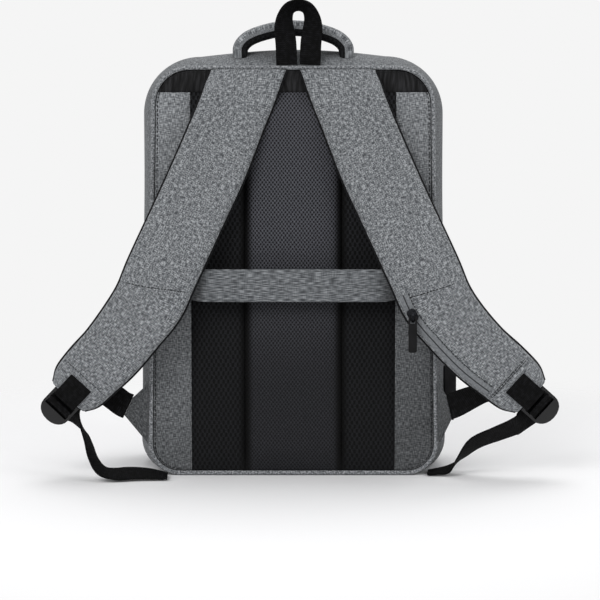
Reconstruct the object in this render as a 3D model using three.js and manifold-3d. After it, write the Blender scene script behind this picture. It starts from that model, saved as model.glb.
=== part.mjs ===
// A laptop backpack that stands on its base, with its harness side towards -Y and +Z up.
// The origin lies on the floor, under the middle of the bag. All sizes are in millimetres.
import * as THREE from "three";
import { mergeVertices } from "three/addons/utils/BufferGeometryUtils.js";
import Module from "manifold-3d";

const solidKit = await Module();
solidKit.setup();

// Bag body
const bagWidth = 270; // seam to seam across the top of the harness side
const bagFlare = 11; // how much wider the bag is at its base
const bagHeight = 394; // floor to the seam at the top of the harness side
const bagDepth = 120; // back seam to front seam
const gussetBulge = 11; // how far the side of the bag swells past its seams
const topBulge = 12; // how far the top swells past its seams
const crownRise = 6; // extra rise of the top at the middle of its width
const topCorner = 37;
const cornerEase = 9; // how much wider the top corners turn where the gusset is fullest
const baseCorner = 30;
const gussetWall = 2.5;
const panelWall = 3;
const basePanelWall = 3;
const frontDome = 11; // how far the front panel swells
const pipingRadius = 2;
const seatGap = 0.3; // between pieces that touch

// Harness side
const coverWall = 3; // yoke and side panels
const yokeDepth = 25; // from the top seam down to the yoke's lower edge
const channelOuter = 98; // middle of the bag to the outer edge of a mesh channel
const channelPuff = 3;
const padHalfWidth = 46.5;
const padPuff = 8;
const bandOverlap = 7; // how far the band reaches past the outer edge of a channel
const bandHeight = 31;
const bandCentre = 186; // height of the band's middle above the floor
const bandStand = 24; // room behind the band
const bandWall = 2.5;

// Carry handle and hang loop
const handleHalfSpan = 49;
const handleRise = 21.5; // from the top of the bag to the join of face and lining
const handleWidth = 29;
const handleFace = 9;
const handleLining = 5.5;
const handleInset = 26; // back seam to the middle of the handle
const loopWebbing = 20;
const loopHeight = 58;
const loopHalfSpan = 13.5;

// Shoulder straps
const strapReach = 214; // middle of the bag to the end of the left strap
const rightExtraReach = 12; // the right strap lies further out
const strapWidth = 67;
const strapFace = 9;
const strapLining = 4;
const strapClearance = 5.5; // room between the rear band and the straps
const liningEdge = 1.2; // the lining shows this much past the face on each side

// Webbing, buckles and wings
const webbing = 25;
const webbingWall = 1.5;
const tabLength = 27;
const buckleWidth = 31;
const buckleLength = 30;
const buckleWall = 4.4;
const nearBar = 3.5;
const nearSlot = 6.5;
const middleBar = 3;
const farSlot = 4.5;
const wingWall = 3;
const wingBase = 56; // along the seam
const wingTip = 19;
const wingHeight = 60; // floor to the middle of the wing
const wingLength = 18;

// Strap pocket zip, main zip and charging port
const pocketTape = 9;
const pocketEdge = 2; // strap edge to the zip tape
const tapeWall = 1.2;
const sliderLength = 12;
const sliderWidth = 9;
const sliderWall = 3;
const pullLength = 33;
const pullWidth = 8;
const pullWall = 1.8;
const mainZipWidth = 10;
const mainZipInset = 22; // front seam to the zip
const mainZipLow = 150; // how far down the sides the zip runs
const mainPullLength = 34;
const mainPullWidth = 9;
const portWidth = 34; // along the depth of the bag
const portHeight = 36;
const portProud = 10;
const portCentre = 86;
const portInset = 40; // back seam to the port's middle

// Looks
const greyCloth = { color: 0x6f7174, roughness: 0.92, metalness: 0 };
const darkCloth = { color: 0x1b1b1d, roughness: 0.9, metalness: 0 };
const meshCloth = { color: 0x242428, roughness: 0.95, metalness: 0 };
const blackWebbing = { color: 0x131315, roughness: 0.75, metalness: 0 };
const blackPlastic = { color: 0x101012, roughness: 0.3, metalness: 0 };
const greyMetal = { color: 0x55565a, roughness: 0.4, metalness: 0.6 };

// Swell of the gusset from the back seam to the front seam: depth as a share of bagDepth,
// swell as a share of the bulges.
const gussetSections = [
  { depth: 0, swell: 0 },
  { depth: 0.06, swell: 0.32 },
  { depth: 0.16, swell: 0.66 },
  { depth: 0.32, swell: 0.92 },
  { depth: 0.5, swell: 1 },
  { depth: 0.68, swell: 0.94 },
  { depth: 0.84, swell: 0.68 },
  { depth: 0.94, swell: 0.34 },
  { depth: 1, swell: 0 },
];

// Centreline of a shoulder strap. out: share of strapReach; flare: share of the extra reach;
// up: share of bagHeight; stand: share of the strap's greatest stand-off;
// width: share of strapWidth; thick: share of the padded thickness.
const strapSections = [
  { out: 0.198, flare: 0, up: 0.988, stand: 0.015, width: 1.06, thick: 0.45 },
  { out: 0.264, flare: 0, up: 0.893, stand: 0.2, width: 0.99, thick: 0.85 },
  { out: 0.362, flare: 0, up: 0.761, stand: 0.43, width: 1.01, thick: 1 },
  { out: 0.467, flare: 0, up: 0.635, stand: 0.7, width: 1, thick: 1 },
  { out: 0.575, flare: 0, up: 0.508, stand: 0.94, width: 1, thick: 1 },
  { out: 0.631, flare: 0, up: 0.439, stand: 1, width: 0.985, thick: 1 },
  { out: 0.706, flare: 0.05, up: 0.381, stand: 0.98, width: 0.93, thick: 1 },
  { out: 0.799, flare: 0.3, up: 0.317, stand: 0.9, width: 0.895, thick: 0.97 },
  { out: 0.886, flare: 0.6, up: 0.269, stand: 0.79, width: 0.865, thick: 0.9 },
  { out: 0.956, flare: 0.87, up: 0.228, stand: 0.68, width: 0.8, thick: 0.72 },
  { out: 1, flare: 1, up: 0.203, stand: 0.6, width: 0.6, thick: 0.5 },
];

// Half section of the padded face of a strap: across as a share of the width, high as a share
// of the face's thickness.
const domeProfile = [
  { across: 0.5, high: 0 },
  { across: 0.5, high: 0.42 },
  { across: 0.47, high: 0.72 },
  { across: 0.4, high: 0.92 },
  { across: 0.2, high: 1 },
];

// Rear band from its middle to its sewn end. along: share of bandHalfLength; stand: share of bandStand.
const bandSections = [
  { along: 0, stand: 1 },
  { along: 0.36, stand: 1 },
  { along: 0.72, stand: 0.99 },
  { along: 0.8, stand: 0.93 },
  { along: 0.86, stand: 0.68 },
  { along: 0.9, stand: 0.32 },
  { along: 0.93, stand: 0.1 },
  { along: 1, stand: 0 },
];

// Carry handle from its middle to its end: shares of handleHalfSpan and handleRise.
const handleSections = [
  { out: 0, up: 1 },
  { out: 0.3, up: 0.945 },
  { out: 0.58, up: 0.8 },
  { out: 0.8, up: 0.62 },
  { out: 0.93, up: 0.42 },
  { out: 1, up: 0.2 },
  { out: 1.01, up: 0 },
];

// Sections of the handle: across as a share of its half width, high as a share of the thickness.
const handleProfile = [
  { across: 1, high: 0.5 },
  { across: 0.8, high: 0.88 },
  { across: 0.35, high: 1 },
  { across: -0.35, high: 1 },
  { across: -0.8, high: 0.88 },
  { across: -1, high: 0.5 },
];
const liningProfile = [
  { across: 1, high: 0.3 },
  { across: 0.55, high: 1 },
  { across: -0.55, high: 1 },
  { across: -1, high: 0.3 },
];

// Hang loop from the foot of a leg to its apex: shares of loopHalfSpan and loopHeight; turn is the
// angle in degrees by which the webbing has turned from facing out to lying over the apex.
const loopSections = [
  { out: 0.82, up: 0, turn: 0, lean: 0.3 },
  { out: 0.88, up: 0.35, turn: 4, lean: 0.4 },
  { out: 1, up: 0.6, turn: 24, lean: 0.7 },
  { out: 0.94, up: 0.78, turn: 50, lean: 0.9 },
  { out: 0.62, up: 0.92, turn: 72, lean: 1 },
  { out: 0, up: 0.97, turn: 90, lean: 1 },
];
const loopLean = 2; // how far the loop leans out at its top
const loopSlope = 28; // slope of the webbing at the apex, in degrees
const loopOffset = 5; // the loop sits this far to the right of the bag's middle

// Free tails from the buckle to their ends. out, up and back: shares of the buckle's distance
// from the middle of the bag, height and distance in front of it; tip: turn of the webbing about
// its run, in degrees, from lying flat.
const leftTail = [
  { out: 0.972, up: 0.74, back: 0.8, tip: 78 },
  { out: 0.937, up: 0.6, back: 0.9, tip: 46 },
  { out: 0.912, up: 0.45, back: 0.965, tip: 36 },
  { out: 0.888, up: 0.26, back: 1.02, tip: 18 },
  { out: 0.848, up: 0.115, back: 1.06, tip: -8 },
  { out: 0.79, up: 0.072, back: 1.05, tip: -17 },
  { out: 0.72, up: 0.074, back: 1, tip: -17 },
  { out: 0.64, up: 0.06, back: 0.965, tip: -13 },
  { out: 0.56, up: 0.03, back: 0.955, tip: -3 },
];
const rightTail = [
  { out: 0.965, up: 0.68, back: 0.865, tip: 66 },
  { out: 0.93, up: 0.62, back: 0.9, tip: 50 },
  { out: 0.86, up: 0.53, back: 0.87, tip: 40 },
  { out: 0.775, up: 0.41, back: 0.81, tip: 32 },
  { out: 0.715, up: 0.22, back: 0.76, tip: 8 },
  { out: 0.672, up: 0.08, back: 0.72, tip: -12 },
  { out: 0.622, up: 0.038, back: 0.68, tip: -4 },
  { out: 0.575, up: 0.0155, back: 0.665, tip: 0 },
];

// What differs between the two sides. sign: direction of X; extra: added reach;
// wingTurn: degrees by which the wing turns from sideways towards the wearer.
const sides = [
  { name: "left", sign: -1, extra: 0, wingTurn: 20, tail: leftTail, tailSeat: 14 },
  { name: "right", sign: 1, extra: rightExtraReach, wingTurn: 62, tail: rightTail, tailSeat: 14 },
];

const backY = -bagDepth / 2;
const frontY = bagDepth / 2;
const coverBackY = backY - seatGap;
const coverFrontY = coverBackY - coverWall;
const coverInset = 2 * pipingRadius + 2 * seatGap;
const yokeLow = bagHeight - yokeDepth;
const strapStand = bandStand + bandWall + strapClearance;
const bandHalfLength = channelOuter + bandOverlap;
const loopFootY = backY - seatGap - pipingRadius;
const strapSteps = 36; // lengths of facets along a strap
const strapLayer = 1.55 * buckleWall; // depth of the lower strap behind the buckle's middle

const vec = (x, y, z) => new THREE.Vector3(x, y, z);
const lerp = THREE.MathUtils.lerp;
const radians = THREE.MathUtils.degToRad;
const along = (from, to, steps) =>
  Array.from({ length: steps + 1 }, (_, i) => lerp(from, to, i / steps));

// Reads a table between its rows: value of one column where another column has the given value.
function columnAt(rows, key, value, column) {
  const rising = rows[rows.length - 1][key] > rows[0][key];
  const passed = (row) => (rising ? row[key] >= value : row[key] <= value);
  const next = Math.max(1, rows.findIndex(passed));
  const high = passed(rows[rows.length - 1]) ? next : rows.length - 1;
  const [a, b] = [rows[high - 1], rows[high]];
  const share = THREE.MathUtils.clamp((value - a[key]) / (b[key] - a[key]), 0, 1);
  return lerp(a[column], b[column], share);
}

// One closed mesh whose faces point out.
function closedMesh(name, points, faces, look) {
  const spin = new THREE.Vector3();
  const volume = faces.reduce(
    (sum, [a, b, c]) => sum + points[a].dot(spin.crossVectors(points[b], points[c])),
    0,
  );
  const geometry = new THREE.BufferGeometry().setFromPoints(points);
  geometry.setIndex(faces.flatMap(([a, b, c]) => (volume > 0 ? [a, b, c] : [a, c, b])));
  geometry.computeVertexNormals();
  const mesh = new THREE.Mesh(geometry, new THREE.MeshStandardMaterial(look));
  mesh.name = name;
  return mesh;
}

// A sheet with thickness: two grids of the same size, joined along their four edges.
function slab(name, outer, inner, look) {
  const rows = outer.length;
  const columns = outer[0].length;
  const points = [...outer.flat(), ...inner.flat()];
  const offset = rows * columns;
  const at = (i, j) => i * columns + j;
  const faces = [];
  const quad = (a, b, c, d) => faces.push([a, b, c], [a, c, d]);
  for (let i = 0; i + 1 < rows; i++) {
    for (let j = 0; j + 1 < columns; j++) {
      quad(at(i, j), at(i + 1, j), at(i + 1, j + 1), at(i, j + 1));
      quad(offset + at(i, j + 1), offset + at(i + 1, j + 1), offset + at(i + 1, j), offset + at(i, j));
    }
  }
  const edge = [];
  for (let j = 0; j + 1 < columns; j++) edge.push(at(0, j));
  for (let i = 0; i + 1 < rows; i++) edge.push(at(i, columns - 1));
  for (let j = columns - 1; j > 0; j--) edge.push(at(rows - 1, j));
  for (let i = rows - 1; i > 0; i--) edge.push(at(i, 0));
  edge.forEach((a, k) => {
    const b = edge[(k + 1) % edge.length];
    quad(a, b, offset + b, offset + a);
  });
  return closedMesh(name, points, faces, look);
}

// A body through closed rings of the same even count: joined into a loop, or closed at both ends
// by strips between each point and its partner, counted from the ring's other end.
function sleeve(name, rings, look, loop = false) {
  const count = rings[0].length;
  const points = rings.flat();
  const faces = [];
  const last = loop ? rings.length : rings.length - 1;
  for (let i = 0; i < last; i++) {
    const next = (i + 1) % rings.length;
    for (let j = 0; j < count; j++) {
      const k = (j + 1) % count;
      const [a, b, c, d] = [i * count + j, i * count + k, next * count + k, next * count + j];
      faces.push([a, b, c], [a, c, d]);
    }
  }
  if (!loop) {
    for (const end of [0, rings.length - 1]) {
      for (let j = 0; j + 1 < count / 2; j++) {
        const [a, b, c, d] = [j, j + 1, count - 2 - j, count - 1 - j].map((k) => end * count + k);
        faces.push(...(end ? [[a, b, c], [a, c, d]] : [[a, c, b], [a, d, c]]));
      }
    }
  }
  return closedMesh(name, points, faces, look);
}

// Points and directions between the rows of a path, by smooth curves through the rows.
function smoothPath(rows, steps) {
  const curve = (key) => new THREE.CatmullRomCurve3(rows.map((row) => row[key]), false, "catmullrom", 0.5);
  const places = curve("place");
  const acrosses = curve("across");
  return along(0, 1, steps).map((u) =>
    frameFrom(places.getPoint(u), places.getTangent(u), acrosses.getPoint(u)),
  );
}

function frameFrom(place, run, across) {
  const face = new THREE.Vector3().crossVectors(run, across).normalize();
  const square = new THREE.Vector3().crossVectors(face, run).normalize();
  return { place, run: run.clone().normalize(), across: square, face };
}

const offsetFrom = (frame, across, face, run = 0) =>
  frame.place
    .clone()
    .addScaledVector(frame.across, across)
    .addScaledVector(frame.face, face)
    .addScaledVector(frame.run, run);

// Flat webbing along a path, centred on it.
function webbingAlong(name, path, width) {
  const rings = path.map((frame) =>
    [
      [-0.5, -0.5],
      [0.5, -0.5],
      [0.5, 0.5],
      [-0.5, 0.5],
    ].map(([a, f]) => offsetFrom(frame, a * width, f * webbingWall)),
  );
  return sleeve(name, rings, blackWebbing);
}

// Outline of the bag at a depth

// Right half of the outline from the middle of the base to the middle of the top. side and top:
// growth past the seam, negative inside it; low: height of the lower edge; crown: rise of the top;
// ease: growth of the top corner's radius.
function halfOutline({ side, top, low, crown = 0, ease = 0 }) {
  const half = (z) => bagWidth / 2 + (bagFlare / 2) * (1 - z / bagHeight) + side;
  const baseRound = baseCorner + Math.min(side, 0);
  const roundX = topCorner + side + ease;
  const roundZ = topCorner + top + ease;
  const sideLow = low + baseRound;
  const sideHigh = bagHeight + top - roundZ;
  const turn = (steps) => along(0, Math.PI / 2, steps).slice(0, -1);
  const baseEnd = half(sideLow) - baseRound;
  const topEnd = half(sideHigh) - roundX;
  return {
    base: along(0, baseEnd, 4).slice(0, -1).map((x) => ({ x, z: low, nx: 0, nz: -1 })),
    round: [
      ...turn(5).map((t) => ({
        x: baseEnd + baseRound * Math.sin(t),
        z: sideLow - baseRound * Math.cos(t),
        nx: Math.sin(t),
        nz: -Math.cos(t),
      })),
      ...along(sideLow, sideHigh, 6).slice(0, -1).map((z) => ({ x: half(z), z, nx: 1, nz: 0 })),
      ...turn(7).map((t) => ({
        x: topEnd + roundX * Math.cos(t),
        z: sideHigh + roundZ * Math.sin(t),
        nx: Math.cos(t),
        nz: Math.sin(t),
      })),
      ...along(topEnd, 0, 7).map((x) => ({
        x,
        z: bagHeight + top + crown * (1 - (x / topEnd) ** 2),
        nx: 0,
        nz: 1,
      })),
    ],
  };
}

const mirrored = (points) => points.map((p) => ({ ...p, x: -p.x, nx: -p.nx })).reverse();

// The outline of the gusset from one end of the base round the top to the other, at a depth share.
function gussetOutline(depth) {
  const swell = columnAt(gussetSections, "depth", depth, "swell");
  const { round } = halfOutline({
    side: gussetBulge * swell,
    top: topBulge * swell,
    low: 0,
    crown: crownRise * swell,
    ease: cornerEase * swell,
  });
  return [...round, ...mirrored(round).slice(1)];
}

const depthShare = (y) => (y - backY) / bagDepth;

// Height of the gusset's top over the floor at a place on it.
function topAt(x, y) {
  const outline = gussetOutline(depthShare(y));
  const upper = outline.filter((p) => p.z > bagHeight / 2).sort((a, b) => a.x - b.x);
  const next = upper.findIndex((p) => p.x > x);
  const [a, b] = [upper[next - 1], upper[next]];
  return lerp(a.z, b.z, (x - a.x) / (b.x - a.x));
}

// Outermost X of the gusset at a height and depth.
function sideAt(z, y) {
  const swell = columnAt(gussetSections, "depth", depthShare(y), "swell");
  return bagWidth / 2 + (bagFlare / 2) * (1 - z / bagHeight) + gussetBulge * swell;
}

// Half width of a panel that follows the seam at an inset, at a height, between its rounded corners.
function panelHalf(z, inset) {
  const half = bagWidth / 2 + (bagFlare / 2) * (1 - z / bagHeight) - inset;
  const round = (radius, reach) =>
    radius - Math.sqrt(Math.max(radius ** 2 - Math.max(reach, 0) ** 2, 0));
  const low = round(baseCorner - inset, baseCorner - z);
  const high = round(topCorner - inset, z - (bagHeight - topCorner));
  return half - Math.max(low, high);
}

// Heights from low to high that crowd where the panel's corners turn.
function panelHeights(low, high) {
  const corner = along(0, Math.PI / 2, 5).map((t) => 1 - Math.cos(t));
  const inner = [low, high, ...along(baseCorner, bagHeight - topCorner, 5)];
  const base = corner.map((share) => baseCorner - (baseCorner - low) * share);
  const top = corner.map((share) => bagHeight - topCorner + (high - bagHeight + topCorner) * share);
  if (low < baseCorner) inner.push(...base);
  if (high > bagHeight - topCorner) inner.push(...top);
  const sorted = inner.filter((z) => z >= low && z <= high).sort((a, b) => a - b);
  return sorted.filter((z, i) => i === 0 || z - sorted[i - 1] > 0.5 || i === sorted.length - 1);
}

// A panel in the XZ plane between two edges that are functions of height.
function panel(name, heights, leftEdge, rightEdge, columns, innerY, outerY, look) {
  const grid = (depthAt) =>
    heights.map((z) => along(leftEdge(z), rightEdge(z), columns).map((x) => vec(x, depthAt(x, z), z)));
  return slab(name, grid(outerY), grid(innerY), look);
}

// Bag body

function makeGusset() {
  const outlines = gussetSections.map(({ depth }) => gussetOutline(depth));
  const ys = gussetSections.map(({ depth }) => backY + depth * bagDepth);
  const grid = (inset) =>
    outlines[0].map((_, i) =>
      outlines.map((outline, j) => {
        const { x, z, nx, nz } = outline[i];
        return vec(x - nx * inset, ys[j], z - nz * inset);
      }),
    );
  return slab("gusset", grid(0), grid(gussetWall), greyCloth);
}

function makeBasePanel() {
  const edges = gussetSections.map(({ depth }) => ({
    y: backY + depth * bagDepth,
    x: gussetOutline(depth)[0].x - seatGap,
  }));
  const grid = (z) => edges.map(({ x, y }) => along(-x, x, 4).map((across) => vec(across, y, z)));
  return slab("base_panel", grid(0), grid(basePanelWall), darkCloth);
}

function makeBodyPanels() {
  const inset = gussetWall + 2 * seatGap;
  const heights = panelHeights(basePanelWall + seatGap, bagHeight - inset);
  const edge = (z) => panelHalf(z, inset);
  const dome = (x, z) => {
    const acrossShare = Math.abs(x) / edge(z);
    const upShare = Math.abs(z - bagHeight / 2) / (bagHeight / 2 - inset);
    return frontDome * Math.max(0, 1 - acrossShare ** 4) * Math.max(0, 1 - upShare ** 4);
  };
  const plain = (y) => () => y;
  return [
    panel("back_panel", heights, (z) => -edge(z), edge, 2, plain(backY + panelWall), plain(backY), darkCloth),
    panel(
      "front_panel",
      heights,
      (z) => -edge(z),
      edge,
      8,
      (x, z) => frontY - panelWall + dome(x, z),
      (x, z) => frontY + dome(x, z),
      greyCloth,
    ),
  ];
}

// A round binding that follows a whole seam.
function makePiping(name, y, look) {
  const { base, round } = halfOutline({ side: -pipingRadius, top: -pipingRadius, low: pipingRadius });
  const half = [...base, ...round];
  const whole = [...half, ...mirrored(half.slice(1, -1))];
  const turns = along(0, 2 * Math.PI, 5).slice(0, -1);
  const rings = whole.map((p) =>
    turns.map((t) =>
      vec(
        p.x + p.nx * pipingRadius * Math.cos(t),
        y + pipingRadius * Math.sin(t),
        p.z + p.nz * pipingRadius * Math.cos(t),
      ),
    ),
  );
  return sleeve(name, rings, look, true);
}

// Harness side

// Puffed height of a pad: full in its middle, falling to its edges.
function puff(x, z, left, right, low, high) {
  const acrossShare = (2 * x - left - right) / (right - left);
  const ends = (z - low) * (high - z);
  const softEnd = Math.min(1, ends / ((high - low) * (channelOuter - padHalfWidth)));
  return Math.max(0, 1 - acrossShare ** 4) * Math.sin((Math.PI / 2) * Math.max(0, softEnd));
}

function makeHarnessPanels() {
  const low = coverInset;
  const high = yokeLow - seatGap;
  const lowHeights = panelHeights(low, high);
  const edge = (z) => panelHalf(z, coverInset);
  const back = () => coverBackY;
  const front = () => coverFrontY;
  const upperHeights = panelHeights(bagHeight - topCorner, bagHeight - coverInset);
  const yokeHeights = [yokeLow, ...upperHeights.filter((z) => z > yokeLow + 1)];
  const panels = [panel("yoke", yokeHeights, (z) => -edge(z), edge, 6, back, front, darkCloth)];
  const padHeights = along(low, high, 12);
  const padFront = (x, z) => coverFrontY - padPuff * puff(x, z, -padHalfWidth, padHalfWidth, low, high);
  panels.push(
    panel("centre_pad", padHeights, () => -padHalfWidth, () => padHalfWidth, 6, back, padFront, meshCloth),
  );
  for (const { name, sign } of sides) {
    const [inner, outer] = [padHalfWidth + seatGap, channelOuter];
    const channelFront = (x, z) =>
      coverFrontY - channelPuff * puff(Math.abs(x), z, inner, outer, low, high);
    const between = (near, far) => (sign > 0 ? [near, far] : [(z) => -far(z), (z) => -near(z)]);
    const channel = between(() => inner, () => outer);
    const side = between(() => channelOuter + seatGap, edge);
    panels.push(panel("mesh_channel_" + name, padHeights, ...channel, 5, back, channelFront, meshCloth));
    panels.push(panel("side_panel_" + name, lowHeights, ...side, 2, back, front, greyCloth));
  }
  return panels;
}

function makeRearBand() {
  const half = bandSections.map(({ along: x, stand }) => ({
    x: x * bandHalfLength,
    y: coverFrontY - seatGap - stand * bandStand,
  }));
  const whole = [...half.slice(1).reverse().map(({ x, y }) => ({ x: -x, y })), ...half];
  const edges = [bandCentre - bandHeight / 2, bandCentre + bandHeight / 2];
  const grid = (proud) =>
    whole.map(({ x, y }, i) => {
      const [before, after] = [whole[Math.max(i - 1, 0)], whole[Math.min(i + 1, whole.length - 1)]];
      const atEnd = i === 0 || i === whole.length - 1;
      const slope = atEnd ? 0 : Math.atan2(after.y - before.y, after.x - before.x);
      return edges.map((z) => vec(x + proud * Math.sin(slope), y - proud * Math.cos(slope), z));
    });
  return slab("rear_band", grid(bandWall), grid(0), greyCloth);
}

// Carry handle and hang loop

function makeCarryHandle() {
  const y = backY + handleInset;
  const foot = topAt(0, y);
  const half = handleSections.map(({ out, up }) => ({
    place: vec(out * handleHalfSpan, y, foot + up * handleRise),
    across: vec(0, 1, 0),
  }));
  const other = half.slice(1).map((row) => ({ ...row, place: vec(-row.place.x, y, row.place.z) }));
  const path = smoothPath([...other.reverse(), ...half], 24);
  const seat = (ring) => ring.map((p) => vec(p.x, p.y, topAt(p.x, p.y) + seatGap + 0.1));
  const build = (name, profile, base, look) => {
    const half = handleWidth / 2;
    const outer = profile.map(({ across, high }) => [across * half, high]);
    const inner = profile.map(({ across }) => [across * half, base]).reverse();
    const rings = path.map((frame) => [...outer, ...inner].map(([a, f]) => offsetFrom(frame, a, f)));
    rings[0] = seat(rings[0]);
    rings[rings.length - 1] = seat(rings[rings.length - 1]);
    return sleeve(name, rings, look);
  };
  const section = (rows, thick) => rows.map(({ across, high }) => ({ across, high: high * thick }));
  return [
    build("carry_handle", section(handleProfile, handleFace), seatGap / 2, greyCloth),
    build("carry_handle_lining", section(liningProfile, -handleLining), -seatGap / 2, meshCloth),
  ];
}

function makeHangLoop() {
  const foot = bagHeight + 2 * seatGap;
  const rows = loopSections.map(({ out, up, turn, lean }) => ({
    place: vec(loopOffset + out * loopHalfSpan, loopFootY - lean * loopLean, foot + up * loopHeight),
    across: vec(
      -Math.cos(radians(turn)),
      Math.sin(radians(turn)) * Math.cos(radians(loopSlope)),
      -Math.sin(radians(turn)) * Math.sin(radians(loopSlope)),
    ),
  }));
  const leftRows = rows.map(({ place, across }) => ({
    place: vec(2 * loopOffset - place.x, place.y, place.z),
    across: vec(-across.x, across.y, across.z),
  }));
  const path = smoothPath([...leftRows, ...rows.slice(0, -1).reverse()], 36);
  return webbingAlong("hang_loop", path, loopWebbing);
}

// Shoulder straps, in the right-hand frame; a left piece is mirrored in X.

function strapStations(side) {
  const rows = strapSections.map((row) => ({
    place: vec(
      row.out * strapReach + row.flare * side.extra,
      coverFrontY - seatGap - row.stand * strapStand,
      row.up * bagHeight,
    ),
    size: vec(row.width * strapWidth, row.thick, 0),
  }));
  const curve = (key) => new THREE.CatmullRomCurve3(rows.map((row) => row[key]), false, "catmullrom", 0.5);
  const places = curve("place");
  const sizes = curve("size");
  return along(0, 1, strapSteps).map((u) => {
    const run = places.getTangent(u);
    const level = THREE.MathUtils.smoothstep(u, 0, 1 / (rows.length - 1));
    const outward = vec(0, -1, 0);
    const square = new THREE.Vector3().crossVectors(outward, run).normalize();
    const across = vec(1, 0, 0).lerp(square, level).normalize();
    const face = new THREE.Vector3().crossVectors(run, across).normalize();
    const { x: width, y: thick } = sizes.getPoint(u);
    return { place: places.getPoint(u), run, across, face, width, thick, u };
  });
}

const mirrorPoint = (sign) => (p) => vec(sign * p.x, p.y, p.z);
const mirrorRings = (rings, side) => rings.map((ring) => ring.map(mirrorPoint(side.sign)));

// How high the padded face stands over the lining, at a place across the strap.
function faceHeight(station, across) {
  const share = Math.min(Math.abs(across) / station.width, 0.499);
  const rows = domeProfile.slice(1);
  const high = share < rows[rows.length - 1].across ? 1 : columnAt(rows, "across", share, "high");
  return (strapLining + seatGap + high * strapFace) * station.thick;
}

function makeStrap(side) {
  const stations = strapStations(side);
  const dome = domeProfile.map(({ across, high }) => [across, high]);
  const section = [...dome, ...dome.map(([across, high]) => [-across, high]).reverse()];
  const heightOf = (s, high) => (strapLining + seatGap + high * strapFace) * s.thick;
  const faceRings = stations.map((s) =>
    section.map(([a, high]) => offsetFrom(s, a * s.width, heightOf(s, high))),
  );
  const liningRings = stations.map((s) => {
    const half = s.width / 2 + liningEdge;
    const thick = strapLining * s.thick;
    return [
      [half, 0.25 * thick],
      [half, thick],
      [-half, thick],
      [-half, 0.25 * thick],
      [-0.9 * half, 0],
      [0.9 * half, 0],
    ].map(([a, f]) => offsetFrom(s, a, f));
  });
  return [
    sleeve("shoulder_strap_" + side.name, mirrorRings(faceRings, side), greyCloth),
    sleeve("strap_lining_" + side.name, mirrorRings(liningRings, side), meshCloth),
  ];
}

// The buckle's own frame: run leads off the end of the strap, face points out.
function buckleFrame(side) {
  const stations = strapStations(side);
  const end = stations[stations.length - 1];
  const lift = (strapLining + seatGap + strapFace) * end.thick;
  return { ...end, place: offsetFrom(end, 0, 0.5 * lift, 2 * seatGap + 0.6) };
}

function makeTab(side) {
  const stations = strapStations(side);
  const buckle = buckleFrame(side);
  const end = stations[stations.length - 1];
  const reach = stations.filter((s) => s.place.distanceTo(end.place) < tabLength);
  const rise = webbingWall / 2 + seatGap;
  const rows = reach.filter((_, i) => i % 2 === 0).map((s) => ({
    place: offsetFrom(s, 0, faceHeight(s, 0) + rise + 0.15),
    across: s.across,
  }));
  const clear = buckleWall / 2 + rise;
  const round = nearBar + 0.8 * rise;
  const flank = buckleWall / 2 + 0.8 * rise;
  const turns = [
    [0.5 * nearBar, clear],
    [round, flank],
    [nearBar + rise, 0],
    [round, -flank],
    [0.5 * nearBar, -clear],
  ];
  const inBuckle = ([run, face]) => ({ place: offsetFrom(buckle, 0, face, run), across: buckle.across });
  rows.push(...turns.map(inBuckle));
  const path = smoothPath(rows, 26);
  return mirrorMesh(webbingAlong("webbing_tab_" + side.name, path, webbing), side);
}

// A mesh on the other side of the bag: its points are mirrored and its faces turned back out.
function mirrorMesh(mesh, side) {
  if (side.sign > 0) return mesh;
  const { geometry } = mesh;
  geometry.scale(-1, 1, 1);
  const index = Array.from(geometry.index.array);
  for (let i = 0; i < index.length; i += 3) [index[i + 1], index[i + 2]] = [index[i + 2], index[i + 1]];
  geometry.setIndex(index);
  geometry.computeVertexNormals();
  return mesh;
}

// A flat outline given thickness, laid in a frame: the outline's x runs across, its y along the run.
function plate(name, shape, frame, wall, look, curveSegments = 6) {
  const options = { depth: wall, bevelEnabled: false, curveSegments };
  const geometry = new THREE.ExtrudeGeometry(shape, options);
  geometry.translate(0, 0, -wall / 2);
  const basis = new THREE.Matrix4().makeBasis(frame.across, frame.run, frame.face);
  if (basis.determinant() < 0) basis.makeBasis(frame.across.clone().negate(), frame.run, frame.face);
  geometry.applyMatrix4(basis.setPosition(frame.place));
  geometry.deleteAttribute("uv");
  geometry.setIndex(Array.from({ length: geometry.attributes.position.count }, (_, i) => i));
  const mesh = new THREE.Mesh(geometry, new THREE.MeshStandardMaterial(look));
  mesh.name = name;
  return mesh;
}

// Meshes that touch or overlap, joined into one solid.
function joined(name, meshes, look) {
  const solids = meshes.map(({ geometry }) => {
    const bare = new THREE.BufferGeometry().setAttribute("position", geometry.getAttribute("position"));
    const { attributes, index } = mergeVertices(bare.setIndex(geometry.index), 1e-4);
    const [vertProperties, triVerts] = [attributes.position.array, new Uint32Array(index.array)];
    return new solidKit.Manifold(new solidKit.Mesh({ numProp: 3, vertProperties, triVerts }));
  });
  const { vertProperties, triVerts } = solidKit.Manifold.union(solids).getMesh();
  const triples = (values) =>
    Array.from({ length: values.length / 3 }, (_, i) => [...values.slice(3 * i, 3 * i + 3)]);
  return closedMesh(name, triples(vertProperties).map((p) => vec(...p)), triples(triVerts), look);
}

function rectangle(target, left, right, low, high) {
  target.moveTo(left, low);
  target.lineTo(right, low);
  target.lineTo(right, high);
  target.lineTo(left, high);
  target.closePath();
  return target;
}

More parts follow.
